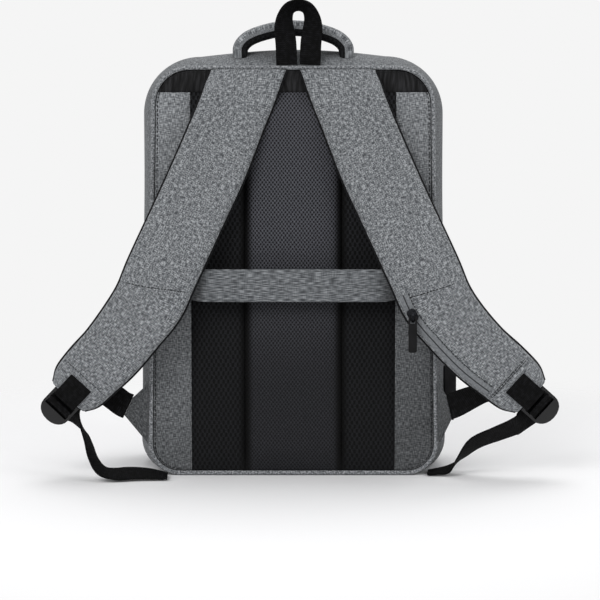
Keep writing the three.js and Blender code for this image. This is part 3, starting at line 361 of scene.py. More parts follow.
def sleeve(name, rings, across, along, cloth, closed=False, **rest):
    # A skin through rings of points: quads between neighbours, capped at both ends or joined into a loop.
    count, width = rings.shape[:2]
    points = rings.reshape(-1, 3)
    i = np.arange(count if closed else count - 1)[:, None]
    j = np.arange(width)[None, :]
    nextRow, nextColumn = (i + 1) % count, (j + 1) % width
    quads = np.stack(np.broadcast_arrays(i * width + j, i * width + nextColumn,
                                         nextRow * width + nextColumn, nextRow * width + j), 2).reshape(-1, 4)
    u, v = np.asarray(across, float), np.asarray(along, float)
    corner = lambda row, column: np.stack(np.broadcast_arrays(u[column], v[row]), -1)
    cell = [corner(i, j), corner(i, j + 1), corner(i + 1, j + 1), corner(i + 1, j)]
    loopUv = np.stack(cell, 2).reshape(-1, 4, 2)
    if closed:
        return makeMesh(name, points, quads, [], (loopUv, []), cloth, **rest)
    caps = [list(range(width))[::-1], list(range((count - 1) * width, count * width))]
    capUv = [np.stack([u[:-1], np.full(width, v[0])], 1)[::-1], np.stack([u[:-1], np.full(width, v[-1])], 1)]
    return makeMesh(name, points, quads, caps, (loopUv, capUv), cloth, **rest)


def smoothRows(rows, shares):
    # Uniform Catmull-Rom curve through the rows: value and slope at shares from 0 to 1.
    rows = np.asarray(rows, float)
    last = len(rows) - 1
    padded = np.vstack([2 * rows[0] - rows[1], rows, 2 * rows[-1] - rows[-2]])
    place = np.asarray(shares) * last
    cell = np.minimum(place.astype(int), last - 1)
    w = (place - cell)[:, None]
    p0, p1, p2, p3 = (padded[cell + k] for k in range(4))
    t0, t1 = (p2 - p0) / 2, (p3 - p1) / 2
    square, cube = 3 * (p2 - p1) - 2 * t0 - t1, 2 * (p1 - p2) + t0 + t1
    return p1 + t0 * w + square * w ** 2 + cube * w ** 3, t0 + 2 * square * w + 3 * cube * w ** 2


def unit(v):
    return v / np.linalg.norm(v, axis=-1, keepdims=True)


def framesAlong(places, slopes, across):  # run, across and face directions of a path
    run = unit(slopes)
    face = unit(np.cross(run, across))
    return named(place=places, run=run, across=unit(np.cross(face, run)), face=face)


def offsetFrom(f, across, face):  # points off a path: a row of points for each station
    spread = lambda value: np.asarray(value, float)[..., None]
    place, sideways, outwards = (way[:, None, :] for way in (f.place, f.across, f.face))
    return place + sideways * spread(across) + outwards * spread(face)


def lengthAlong(places):
    return np.concatenate([[0], np.cumsum(np.linalg.norm(np.diff(places, axis=0), axis=1))])


def flatSection(width, thick, across=9, rounds=3):
    # Section of webbing: a flat bar with half-round edges, as (across, face) pairs round it.
    r = thick / 2
    turn = np.linspace(-90, 90, rounds + 2)[1:-1] * math.pi / 180
    right = np.stack([width / 2 - r + r * np.cos(turn), r * np.sin(turn)], 1)
    straight = np.linspace(-(width / 2 - r), width / 2 - r, across)
    low = np.stack([straight, np.full(across, -r)], 1)
    high = np.stack([straight[::-1], np.full(across, r)], 1)
    return np.concatenate([low, right, high, -right])


def ribbon(name, f, width, thick, cloth, **rest):
    # Webbing along a path: the flat section carried along, with its length and width as its weave.
    section = flatSection(width, thick)
    rings = offsetFrom(f, section[:, 0], section[:, 1])
    u = np.concatenate([section[:, 0], section[:1, 0]])
    return sleeve(name, rings, u, lengthAlong(f.place), cloth, **rest)


def mirrorX(points, sign):
    return points * np.array([sign, 1.0, 1.0])


def soft(x, y, z, size, seed):  # slow, smooth unevenness of about -1 to 1: three crossed sine waves
    a = np.sin(x / size * 2.1 + 1.7 * seed) * np.cos(z / size * 1.7 + 0.6 * seed)
    b = np.sin((x + z) / size * 1.3 + y / size + 2.9 * seed)
    return 0.6 * a + 0.4 * b


def stitchRow(name, path, normals, pitch, length, radius, cloth):
    # Sewing stitches: a short spindle for each pitch along the path, half sunk in the cloth.
    travel = lengthAlong(path)
    count = max(2, int(travel[-1] / pitch))
    at = (np.arange(count) + 0.5) * travel[-1] / count
    pick = lambda values, s: np.stack([np.interp(s, travel, values[:, k]) for k in range(3)], 1)
    ends = pick(path, at - length / 2), pick(path, at + length / 2)
    out = unit(pick(normals, at))
    run = unit(ends[1] - ends[0])
    side = np.cross(out, run)
    steps = np.array([0, 0.12, 0.5, 0.88, 1.0])
    swell = np.array([0.25, 0.8, 1.0, 0.8, 0.25])
    around, size = 6, 6 * len(steps)
    turns = np.arange(around) / around * 2 * math.pi
    centre = ends[0][:, None] + (ends[1] - ends[0])[:, None] * steps[None, :, None]
    centre = centre + out[:, None] * (radius * 0.3)
    sideways, outwards = side[:, None, None], out[:, None, None]
    ring = sideways * np.cos(turns)[:, None] + outwards * np.sin(turns)[:, None]
    points = centre[:, :, None] + ring * (radius * swell)[None, :, None, None]
    row, column = np.arange(len(steps) - 1)[:, None] * around, np.arange(around)[None, :]
    base, turned = row + column, row + (column + 1) % around
    one = np.stack([base, turned, turned + around, base + around], 2).reshape(-1, 4)
    quads = (one[None] + (np.arange(count) * size)[:, None, None]).reshape(-1, 4)
    rims = [list(range(around))[::-1], list(range(size - around, size))]
    caps = [[v + size * k for v in rim] for k in range(count) for rim in rims]
    uv = np.zeros((len(quads), 4, 2))
    capUv = [np.zeros((around, 2)) for _ in caps]
    return makeMesh(name, points.reshape(-1, 3), quads, caps, (uv, capUv), cloth, angle=180)


# Bag body: straight sides that flare to the base, rounded corners, a crowned top. Sizes in millimetres.
bag = named(width=270.0, flare=11.0, height=394.0, depth=120.0, bulge=11.0, topBulge=12.0,
            crown=6.0, topCorner=37.0, cornerEase=9.0, baseCorner=30.0, wall=2.5, panelWall=3.0,
            dome=11.0, piping=2.0, coverWall=3.0, yokeDepth=25.0, slack=0.9)
gap = 0.3  # between pieces that lie on each other
backY, frontY = -bag.depth / 2, bag.depth / 2
coverBackY = backY - gap
coverFrontY = coverBackY - bag.coverWall
coverInset = 2 * bag.piping + 2 * gap
yokeLow = bag.height - bag.yokeDepth
swellTable = np.array([[0, 0], [0.06, 0.32], [0.16, 0.66], [0.32, 0.92], [0.5, 1], [0.68, 0.94], [0.84, 0.68],
                       [0.94, 0.34], [1, 0]])
swellCurve = smoothRows(swellTable, np.linspace(0, 1, 400))[0]


def swellAt(depth):
    return np.interp(depth, swellCurve[:, 0], swellCurve[:, 1])


def sideHalf(z, side=0.0):  # half width at a height: half the width, plus half the flare times the way down
    return bag.width / 2 + bag.flare / 2 * (1 - z / bag.height) + side


def halfOutline(side, top, low, crown=0.0, ease=0.0, counts=(4, 12, 50, 24, 40)):
    # From the middle of the base round to the middle of the top, as rows of x, z and the outward normal.
    baseRound = bag.baseCorner + min(side, 0)
    roundX, roundZ = bag.topCorner + side + ease, bag.topCorner + top + ease
    lowZ, highZ = low + baseRound, bag.height + top - roundZ
    baseEnd, topEnd = sideHalf(lowZ, side) - baseRound, sideHalf(highZ, side) - roundX
    t = np.linspace(0, math.pi / 2, counts[1] + 1)[:-1]
    base = np.stack([np.linspace(0, baseEnd, counts[0] + 1)[:-1], np.full(counts[0], low),
                     np.zeros(counts[0]), -np.ones(counts[0])], 1)
    corner = np.stack([baseEnd + baseRound * np.sin(t), lowZ - baseRound * np.cos(t),
                       np.sin(t), -np.cos(t)], 1)
    z = np.linspace(lowZ, highZ, counts[2] + 1)[:-1]
    wall = np.stack([sideHalf(z, side), z, np.ones_like(z), np.zeros_like(z)], 1)
    t = np.linspace(0, math.pi / 2, counts[3] + 1)[:-1]
    turn = np.stack([topEnd + roundX * np.cos(t), highZ + roundZ * np.sin(t), np.cos(t), np.sin(t)], 1)
    x = np.linspace(topEnd, 0, counts[4] + 1)
    crest = np.stack([x, bag.height + top + crown * (1 - (x / topEnd) ** 2), 0 * x, 0 * x + 1], 1)
    return base, np.concatenate([corner, wall, turn, crest])


def wholeOutline(half):
    mirror = half[::-1][1:] * np.array([-1, 1, -1, 1])
    return np.concatenate([half, mirror])


def gussetGrid(depths, lift, keep=None):
    # The cloth round the bag: at each depth the outline grown by the swell there, moved along its normal.
    lines = []
    for depth in depths:
        swell = swellAt(depth)
        _, half = halfOutline(bag.bulge * swell, bag.topBulge * swell, 0.0, bag.crown * swell,
                              bag.cornerEase * swell)
        lines.append(wholeOutline(half))
    lines = np.stack(lines, 1)
    if keep is not None:
        lines = lines[keep(lines[:, 0, 1])]
    y = backY + np.asarray(depths) * bag.depth
    y = np.broadcast_to(y, lines.shape[:2])
    calm = np.clip(lines[..., 1] / 60, 0, 1) * np.sin(np.clip((y - backY) / bag.depth, 0, 1) * math.pi)
    give = bag.slack * calm * (soft(lines[..., 0], y, lines[..., 1], 55.0, 1.0) - 0.5)
    out = lift + give
    return np.stack([lines[..., 0] + lines[..., 2] * out, y, lines[..., 1] + lines[..., 3] * out], -1)


def makeGusset():
    depths = 0.5 - 0.5 * np.cos(np.linspace(0, math.pi, 33))
    outer, inner = gussetGrid(depths, 0.0), gussetGrid(depths, -bag.wall)
    u = (backY + depths * bag.depth)[None, :] + 0 * outer[..., 0]
    v = lengthAlong(outer[:, len(depths) // 2])[:, None] + 0 * outer[..., 0]
    slab("gusset_cloth", (outer, inner), "gusset", np.stack([u, v], -1), node="gusset")


def panelHalf(z, inset):  # half width of a panel that follows the seam at an inset
    half = sideHalf(z) - inset
    ease = lambda radius, reach: radius - np.sqrt(np.maximum(radius ** 2 - np.maximum(reach, 0) ** 2, 0))
    low = ease(bag.baseCorner - inset, bag.baseCorner - z)
    high = ease(bag.topCorner - inset, z - (bag.height - bag.topCorner))
    return half - np.maximum(low, high)


def panelHeights(low, high, count):  # heights that crowd towards the rounded corners
    t = np.linspace(0, math.pi, count)
    crowd = 0.5 - 0.5 * np.cos(t)
    return low + (high - low) * (0.35 * np.linspace(0, 1, count) + 0.65 * crowd)


def panelGrid(heights, left, right, columns, depthAt):
    s = np.linspace(0, 1, columns)[None, :]
    z = heights[:, None] + 0 * s
    x = left(heights)[:, None] * (1 - s) + right(heights)[:, None] * s
    return np.stack([x, depthAt(x, z), z], -1)


def makeBodyPanels():
    inset = bag.wall + 2 * gap
    heights = panelHeights(bag.panelWall + gap, bag.height - inset, 70)
    edge = lambda z: panelHalf(z, inset)
    middle = bag.height / 2
    flat = lambda share: np.maximum(0, 1 - np.abs(share) ** 4)
    dome = lambda x, z: bag.dome * flat(x / edge(z)) * flat((z - middle) / (middle - inset))
    slack = lambda x, z: 0.8 * soft(x, 0, z, 60.0, 2.0) * dome(x, z) / bag.dome
    swelled = lambda wall: lambda x, z: frontY - wall + dome(x, z) + slack(x, z)
    grids = [panelGrid(heights, lambda z: -edge(z), edge, 60, swelled(wall)) for wall in (0, bag.panelWall)]
    slab("front_cloth", grids, "gusset", node="front_panel")
    grids = [panelGrid(heights, lambda z: -edge(z), edge, 6, lambda x, z: 0 * x + y)
             for y in (backY, backY + bag.panelWall)]
    slab("back_cloth", grids, "lining", node="back_panel")


def makeBasePanel():
    depths = swellTable[:, 0]
    ends = [halfOutline(bag.bulge * swellAt(d), 0, 0)[1][0, 0] - gap for d in depths]
    s = np.linspace(-1, 1, 24)
    y = np.outer(backY + depths * bag.depth, 0 * s + 1)
    flat = np.stack([np.outer(ends, s), y, 0 * y], -1)
    upper = flat + np.array([0, 0, bag.panelWall])
    slab("base_cloth", (flat, upper), "lining", flat[..., :2], node="base_panel")


def makePiping(name, node, y):
    # A round binding carried along the seam; its cloth is wrapped, so the weave runs round it.
    base, half = halfOutline(-bag.piping, -bag.piping, bag.piping, counts=(30, 14, 90, 18, 40))
    half = np.concatenate([base, half])
    line = np.concatenate([half, half[::-1][1:-1] * np.array([-1, 1, -1, 1])])
    t = np.arange(10) / 10 * 2 * math.pi
    r = bag.piping * (1 + 0.03 * np.sin(np.arange(len(line)) * 2.4))[:, None]
    rings = np.stack([line[:, 0:1] + line[:, 2:3] * r * np.cos(t), y + r * np.sin(t) + 0 * line[:, 0:1],
                      line[:, 1:2] + line[:, 3:4] * r * np.cos(t)], -1)
    path = np.append(rings.mean(1), rings[:1].mean(1), axis=0)
    girth = np.linspace(0, 2 * math.pi * bag.piping, 11)
    sleeve(name, rings, girth, lengthAlong(path), "piping", closed=True, node=node)


def makeSeamStitches():
    # Lockstitches that hold the piping: a row round the harness side, just inside the seam.
    inset = coverInset + 1.6
    path = wholeOutline(halfOutline(-inset, -inset, inset)[1])
    line = np.stack([path[:, 0], 0 * path[:, 0] + coverFrontY + 0.15, path[:, 1]], 1)
    stitchRow("seam_stitches", line, line * 0 + np.array([0, -1.0, 0]), 4.0, 2.8, 0.45, "darkThread")


makeGusset()
makeBodyPanels()
makeBasePanel()
makePiping("back_piping_cord", "back_piping", backY - gap - bag.piping)
makePiping("front_piping_cord", "front_piping", frontY + gap + bag.piping)
makeSeamStitches()
print("body made")

# Harness side
harness = named(channelOuter=98.0, channelPuff=3.0, padHalf=46.5, padPuff=8.0, bandHalf=105.0,
                bandHeight=31.0, bandCentre=186.0, bandStand=24.0, bandWall=2.5, seam=1.2,
                yokeRoll=0.9, sideRoll=1.1, unevenPad=0.5, unevenSide=0.35)


def puff(x, z, left, right, low, high, edge, power):
    # Padding: a flat-topped crown across the pad, rising from its ends over the given distance.
    share = np.clip(np.abs((2 * x - left - right) / (right - left)), 0, 1)
    end = np.clip(np.minimum(z - low, high - z) / edge, 0, 1)
    return (1 - share ** power) * np.sin(math.pi / 2 * end)


def makeHarness():
    low, high = coverInset, yokeLow - gap
    edge = lambda z: panelHalf(z, coverInset)
    sewn = lambda x, z: 0 * x + coverBackY
    # Height of a cloth that rolls down at its edges: the square root of the way in, full at the reach
    roll = lambda reach, *ways: np.sqrt(np.clip(np.minimum.reduce(ways) / reach, 0, 1))
    yokeZ = np.linspace(yokeLow, bag.height - coverInset, 16)
    yokeTop = high + bag.yokeDepth - 4
    yokeFace = lambda x, z: coverFrontY + harness.yokeRoll * (
        1 - roll(2.2, x + edge(z), edge(z) - x, z - yokeLow, yokeTop - z))
    grids = [panelGrid(yokeZ, lambda z: -edge(z), edge, 90, f) for f in (yokeFace, sewn)]
    slab("yoke_cloth", grids, "yoke", node="yoke")
    z = panelHeights(low, high, 150)
    half, seam = harness.padHalf, coverFrontY + harness.seam
    padFace = lambda x, z: seam - puff(x, z, -half, half, low, high, 26.0, 7) * (
        harness.padPuff + harness.seam + harness.unevenPad * soft(x, 0, z, 26.0, 3.0))
    grids = [panelGrid(z, lambda z: 0 * z - half, lambda z: 0 * z + half, 56, f) for f in (padFace, sewn)]
    pad = slab("centre_pad_mesh", grids, "pad", node="centre_pad")
    for side, sign in (("left", -1), ("right", 1)):
        inner, outer = half + gap, harness.channelOuter
        sideInner = outer + gap
        channelFace = lambda x, z: seam - (harness.channelPuff + harness.seam) * puff(
            np.abs(x), z, inner, outer, low, high, 20.0, 6)
        ends = lambda near, far: (lambda z: sign * near(z), lambda z: sign * far(z))
        spans = ends(lambda z: 0 * z + inner, lambda z: 0 * z + outer)
        grids = [panelGrid(z, *spans, 30, f) for f in (channelFace, sewn)]
        channel = slab("mesh_channel_cloth_" + side, grids, "channel", node="mesh_channel_" + side)
        sideFace = lambda x, z: coverFrontY - harness.unevenSide * soft(x, 0, z, 32.0, 4.0 + sign) + (
            harness.sideRoll * (1 - roll(3.0, np.abs(x) - sideInner, edge(z) - np.abs(x), z - low, high - z)))
        spans = ends(lambda z: 0 * z + sideInner, edge)
        grids = [panelGrid(z, *spans, 22, f) for f in (sideFace, sewn)]
        slab("side_cloth_" + side, grids, "panel", node="side_panel_" + side)


def makeRearBand():
    # A folded band stretched across the channels: out from its sewn ends, straight over the gap.
    table = np.array([[0, 1], [0.36, 1], [0.72, 0.99], [0.8, 0.93], [0.86, 0.68], [0.9, 0.32],
                      [0.93, 0.1], [1, 0]])  # share of the way out, share of the stand
    half = np.stack([table[:, 0] * harness.bandHalf, coverFrontY - gap - harness.bandWall / 2
                     - table[:, 1] * harness.bandStand, np.full(8, harness.bandCentre)], 1)
    rows = np.concatenate([mirrorX(half[:0:-1], -1), half])
    places, slopes = smoothRows(rows, np.linspace(0, 1, 120))
    f = framesAlong(places, slopes, np.array([0, 0, -1.0]))
    band = ribbon("rear_band_cloth", f, harness.bandHeight, harness.bandWall - 0.2, "band",
                  node="rear_band")
    return f


makeHarness()
makeRearBand()
print("harness side made")


# Carry handle and hang loop
loop = named(offset=5.0, half=13.5, height=58.0, lean=2.0, slope=28.0, width=20.0, wall=1.5)
handle = named(halfSpan=49.0, rise=21.5, width=29.0, face=9.0, lining=5.5, inset=26.0)


def topAt(x, y):  # height of the cloth on top of the bag
    line = gussetGrid([(y - backY) / bag.depth], 0.0)[:, 0]
    line = line[line[:, 2] > bag.height / 2]
    order = np.argsort(line[:, 0])
    return np.interp(x, line[order, 0], line[order, 2])


def makeCarryHandle():
    y = backY + handle.inset
    foot = float(topAt(0.0, y))
    table = np.array([[0, 1], [0.3, 0.945], [0.58, 0.8], [0.8, 0.62], [0.93, 0.42], [1, 0.2], [1.01, 0]])
    half = np.stack([table[:, 0] * handle.halfSpan, np.full(7, y), foot + table[:, 1] * handle.rise], 1)
    rows = np.concatenate([mirrorX(half[:0:-1], -1), half])
    places, slopes = smoothRows(rows, np.linspace(0, 1, 90))
    f = framesAlong(places, slopes, np.array([0, 1.0, 0]))
    w = handle.width / 2
    a = np.linspace(-1, 1, 19)
    crown = (1 - np.abs(a) ** 4) ** 0.5
    for name, thick, base, cloth, node, power in (
            ("carry_handle_cloth", handle.face, gap / 2, "strap", "carry_handle", 1.0),
            ("carry_handle_back", -handle.lining, -gap / 2, "underside", "carry_handle_lining", 0.8)):
        upper = np.stack([a * w, base + (thick - base) * (0.35 + 0.65 * crown ** power)], 1)
        lower = np.stack([a[::-1] * w, np.full(19, base)], 1)
        section = np.concatenate([upper, lower])
        rings = offsetFrom(f, section[:, 0], section[:, 1])
        for end in (0, -1):
            line = np.array([float(topAt(x, yy)) for x, yy in rings[end][:, :2]])
            rings[end][:, 2] = line + 0.4
        u = np.concatenate([a * w, a[::-1] * w + 2.5 * w, [4 * w]])
        piece = sleeve(name, rings, u, lengthAlong(places), cloth, node=node)


def makeHangLoop():
    # Webbing loop: its legs face out, and the webbing turns to lie across over the apex.
    # Columns: share of the half width, share of the height, turn of the webbing, share of the lean
    table = [[0.82, 0, 0, 0.3], [0.88, 0.35, 4, 0.4], [1, 0.6, 24, 0.7], [0.94, 0.78, 50, 0.9],
             [0.62, 0.92, 72, 1], [0, 0.97, 90, 1]]
    out, up, turn, lean = np.array(table).T
    turn, slope = np.radians(turn), math.radians(loop.slope)
    place = np.stack([loop.offset + out * loop.half, backY - gap - bag.piping - lean * loop.lean,
                      bag.height + 2 * gap + up * loop.height], 1)
    across = np.stack([-np.cos(turn), np.sin(turn) * math.cos(slope), -np.sin(turn) * math.sin(slope)], 1)
    left = mirrorX(place, -1) + np.array([2 * loop.offset, 0, 0])
    rows = np.concatenate([np.hstack([left, mirrorX(across, -1)]), np.hstack([place, across])[-2::-1]])
    values, slopes = smoothRows(rows, np.linspace(0, 1, 110))
    f = framesAlong(values[:, :3], slopes[:, :3], values[:, 3:])
    ribbon("hang_loop_webbing", f, loop.width, loop.wall, "webbing", node="hang_loop")


makeCarryHandle()
makeHangLoop()
print("handle and loop made")


# Shoulder straps. The left one mirrors the right one's frame; the right one reaches 12 mm further.
strap = named(reach=214.0, extra=12.0, width=67.0, face=9.0, lining=4.0, clearance=5.5, edge=1.8,
              stations=170)
# Columns: share of the reach, share of the extra, height, distance from the bag, width, thickness
strapTable = np.array([
    [0.198, 0, 0.988, 0.015, 1.06, 0.45], [0.264, 0, 0.893, 0.2, 0.99, 0.85],
    [0.362, 0, 0.761, 0.43, 1.01, 1], [0.467, 0, 0.635, 0.7, 1, 1], [0.575, 0, 0.508, 0.94, 1, 1],
    [0.631, 0, 0.439, 1, 0.985, 1], [0.706, 0.05, 0.381, 0.98, 0.93, 1],
    [0.799, 0.3, 0.317, 0.9, 0.895, 0.97], [0.886, 0.6, 0.269, 0.79, 0.865, 0.9],
    [0.956, 0.87, 0.228, 0.68, 0.8, 0.72], [1, 1, 0.203, 0.6, 0.6, 0.5]])
sides = {"left": named(sign=-1, extra=0.0, wingTurn=20.0, seat=14.0),
         "right": named(sign=1, extra=strap.extra, wingTurn=62.0, seat=14.0)}


def strapFrames(side, shares):
    stand = harness.bandStand + harness.bandWall + strap.clearance
    out, flare, up, away, width, thick = strapTable.T
    rows = np.stack([out * strap.reach + flare * side.extra, coverFrontY - gap - away * stand,
                     up * bag.height, width * strap.width, thick], 1)
    values, slopes = smoothRows(rows, shares)
    run = unit(slopes[:, :3])
    level = np.clip(np.asarray(shares) * (len(rows) - 1), 0, 1)
    level = (level ** 2 * (3 - 2 * level))[:, None]
    across = unit((1 - level) * np.array([1.0, 0, 0]) + level * unit(np.cross([0, -1.0, 0], run)))
    return named(place=values[:, :3], run=run, across=across, face=unit(np.cross(run, across)),
                 width=values[:, 3], thick=values[:, 4])


def crownOf(share):  # height of the padding over the strap's width: full, then rounding to the seam
    return (1 - np.clip(np.abs(2 * share), 0, 1) ** 6) ** 0.42


def faceHeight(f, share):
    return (strap.lining + gap + crownOf(share) * strap.face) * f.thick


# Seams across a strap: place along it, skew and depth in millimetres
seams = {"left": [(0.452, 0.030, 0.5), (0.835, 0.0, 1.0)],
         "right": [(0.462, 0.012, 0.7), (0.83, 0.0, 1.0), (0.837, 0.0, 0.8)]}


def makeStrap(name, side):
    shares = np.linspace(0, 1, strap.stations)
    f = strapFrames(side, shares)
    travel = lengthAlong(f.place)
    a = 0.5 * np.sin(np.linspace(-0.5, 0.5, 41) * math.pi)
    base = strap.lining + gap
    groove = np.zeros((len(shares), len(a)))
    for at, skew, depth in seams[name]:
        line = shares[:, None] - at - skew * a[None, :] * 2
        groove += depth * np.exp(-(line / 0.0045) ** 2)
    height = (base + (0.12 + 0.88 * crownOf(a))[None, :] * strap.face) * f.thick[:, None]
    height = height - groove * crownOf(a)[None, :] * 0.9
    x = f.place[:, None] + f.across[:, None] * (a[None, :, None] * f.width[:, None, None])
    uneven = soft(*np.moveaxis(x, 2, 0), 24.0, 5.0 + side.sign)
    height = height + 0.35 * uneven * crownOf(a)[None, :]
    top = offsetFrom(f, a[None, :] * f.width[:, None], height)
    low = offsetFrom(f, a[None, ::-1] * f.width[:, None], (base * f.thick)[:, None])
    rings = mirrorX(np.concatenate([top, low], 1), side.sign)
    u = np.concatenate([a * strap.width, a[::-1] * strap.width + 80, [120.0]])
    piece = sleeve("shoulder_strap_cloth_" + name, rings, u, travel, "strap", node="shoulder_strap_" + name)
    # Lining: a thinner mesh-backed layer whose rounded edge shows past the face on both sides
    half = f.width[:, None] / 2 + strap.edge
    t = np.linspace(-90, 90, 7)[None, :] * math.pi / 180
    thick = strap.lining * f.thick[:, None]
    edgeA, edgeF = half - thick / 2 * (1 - np.cos(t)), thick / 2 * (1 + np.sin(t))
    inner = np.linspace(-1, 1, 15)[None, 1:-1]
    flat = inner * (half - thick / 2)
    across = np.concatenate([edgeA, -flat, -edgeA[:, ::-1], flat], 1)
    face = np.concatenate([edgeF, thick + 0 * flat, edgeF[:, ::-1], 0 * flat], 1)
    rings = mirrorX(offsetFrom(f, across, face), side.sign)
    u = np.append(across[len(shares) // 2], across[len(shares) // 2][0])
    lining = sleeve("strap_lining_cloth_" + name, rings, u, travel, "underside", node="strap_lining_" + name)
    for k, (at, skew, depth) in enumerate(seams[name]):
        s = np.linspace(-0.46, 0.46, 60)
        line = strapFrames(side, at + skew * s * 2)
        path = line.place + line.across * (s * line.width)[:, None] + line.face * (
            faceHeight(line, s) - depth * 0.9 - 0.1)[:, None]
        ways = [mirrorX(points, side.sign) for points in (path, line.face)]
        stitchRow(f"strap_stitches_{name}_{k}", *ways, 3.0, 2.5, 0.5, "darkThread")


for sideName, sideFacts in sides.items():
    makeStrap(sideName, sideFacts)
print("straps made")

# Webbing, buckles and wings
hardware = named(webbing=25.0, wall=1.5, tab=27.0, buckleWall=4.4, nearBar=3.5, nearSlot=6.5,
                 middleBar=3.0, wingWall=3.0, wingBase=56.0, wingTip=19.0, wingHeight=60.0,
                 wingLength=18.0)
strapLayer = 1.55 * hardware.buckleWall


def buckleFrame(side):  # at the strap's end: run leads off the strap, face points out
    f = strapFrames(side, np.array([1.0]))
    lift = (strap.lining + gap + strap.face) * f.thick[0]
    one = named(**{key: way[0] for key, way in vars(f).items()})
    one.place = one.place + one.face * 0.5 * lift + one.run * (2 * gap + 0.6)
    return one


def inFrame(one, across, face, run):
    return one.place + one.across * across + one.face * face + one.run * run


def ribbonRows(name, rows, steps, side, **rest):
    values, slopes = smoothRows(rows, np.linspace(0, 1, steps))
    f = framesAlong(values[:, :3], slopes[:, :3], values[:, 3:])
    f = named(**{key: mirrorX(way, side.sign) for key, way in vars(f).items()})
    return ribbon(name, f, hardware.webbing, hardware.wall, "webbing", **rest)


def makeTab(name, side):
    one = buckleFrame(side)
    shares = np.linspace(0, 1, 37)
    f = strapFrames(side, shares)
    near = np.linalg.norm(f.place - f.place[-1], axis=1) < hardware.tab
    rise = hardware.wall / 2 + gap
    height = (strap.lining + gap + strap.face) * f.thick + rise + 0.15
    places = (f.place + f.face * height[:, None])[near][::2]
    rows = [np.concatenate([p, a]) for p, a in zip(places, f.across[near][::2])]
    clear, low = hardware.buckleWall / 2 + rise, hardware.nearBar
    flank, round_ = hardware.buckleWall / 2 + 0.8 * rise, low + 0.8 * rise
    for run, face in ((0.5 * low, clear), (round_, flank), (low + rise, 0), (round_, -flank),
                      (0.5 * low, -clear)):
        rows.append(np.concatenate([inFrame(one, 0, face, run), one.across]))
    ribbonRows("tab_webbing_" + name, rows, 70, side, node="webbing_tab_" + name)


def wingCorners(side):
    turn = math.radians(side.wingTurn)
    out = np.array([math.cos(turn), -math.sin(turn), 0])
    root = lambda z: np.array([sideHalf(z) + hardware.wingWall / 2 + gap,
                               backY - gap - bag.piping, z])
    tip = root(hardware.wingHeight) + out * hardware.wingLength
    tip = tip + np.array([0, 0, 0.4 * hardware.wingTip])
    lean = unit(np.array([-0.5 * out[0], -0.5 * out[1], 1]))
    return named(
        out=out, leave=unit(np.array([out[0], out[1], 0.5])),
        low=root(hardware.wingHeight - hardware.wingBase / 2),
        high=root(hardware.wingHeight + hardware.wingBase / 2),
        tipLow=tip - lean * hardware.wingTip / 2, tipHigh=tip + lean * hardware.wingTip / 2)


def makeWing(name, side):
    # A folded tab of cloth: a flat trapezoid from the seam to the webbing, with a soft folded edge.
    c = wingCorners(side)
    face = unit(np.cross([0, 0, 1.0], c.out))
    s, t = np.meshgrid(np.linspace(0, 1, 20), np.linspace(0, 1, 28), indexing="ij")
    blend = lambda p, q, w: p * (1 - w[..., None]) + q * w[..., None]
    flat = blend(blend(c.low, c.high, t), blend(c.tipLow, c.tipHigh, t), s)
    rim = np.clip(np.minimum(np.minimum(t, 1 - t) * 14, (1 - s) * 8 + 0.4), 0, 1)
    thick = hardware.wingWall / 2 * np.sqrt(0.3 + 0.7 * rim)
    grids = [mirrorX(flat + face * (thick * k)[..., None], side.sign) for k in (1, -1)]
    uv = np.stack([s * hardware.wingLength, t * hardware.wingBase], -1)
    slab("wing_cloth_" + name, grids, "panel", uv, node="wing_" + name)


def makeLowerStrap(name, side):
    c, one = wingCorners(side), buckleFrame(side)
    down = unit(c.tipLow - c.tipHigh)
    start = (c.tipLow + c.tipHigh) / 2 + c.leave * 2 * gap
    clear = hardware.buckleWall / 2 + hardware.wall / 2 + gap
    slotFar = hardware.nearBar + hardware.nearSlot
    middle = slotFar + hardware.middleBar / 2
    far = slotFar + hardware.middleBar + gap + hardware.wall / 2
    near = slotFar - gap - hardware.wall / 2
    approach = inFrame(one, 0, -strapLayer - 2.4 * hardware.wall, -0.6 * hardware.webbing)
    behind = (approach + start) / 2 + np.array([0, 0.16, 0.12]) * hardware.webbing
    turned = unit((down + one.across) / 2)
    rows = [(start, down), (start + c.leave * 0.28 * hardware.webbing, down), (behind, turned),
            (approach, one.across)]
    for run, face in ((0.3 * middle, -strapLayer), (0.9 * far, -0.8 * strapLayer), (far, 0),
                      (far - 0.25, clear - 0.25), (middle, clear), (near + 0.25, clear - 0.25), (near, 0),
                      (near, -0.75 * clear)):
        rows.append((inFrame(one, 0, face, run), one.across))
    rows = [np.concatenate(row) for row in rows]
    ribbonRows("adjuster_webbing_" + name, rows, 130, side, node="lower_strap_" + name)


# Columns: shares of the buckle's place in X, Z and Y, and the turn of the webbing about its run
tails = {
    "left": [[0.972, 0.74, 0.8, 78], [0.937, 0.6, 0.9, 46], [0.912, 0.45, 0.965, 36], [0.888, 0.26, 1.02, 18],
             [0.848, 0.115, 1.06, -8], [0.79, 0.072, 1.05, -17], [0.72, 0.074, 1, -17],
             [0.64, 0.06, 0.965, -13], [0.56, 0.03, 0.955, -3]],
    "right": [[0.965, 0.68, 0.865, 66], [0.93, 0.62, 0.9, 50], [0.86, 0.53, 0.87, 40],
              [0.775, 0.41, 0.81, 32], [0.715, 0.22, 0.76, 8], [0.672, 0.08, 0.72, -12],
              [0.622, 0.038, 0.68, -4], [0.575, 0.0155, 0.665, 0]]}


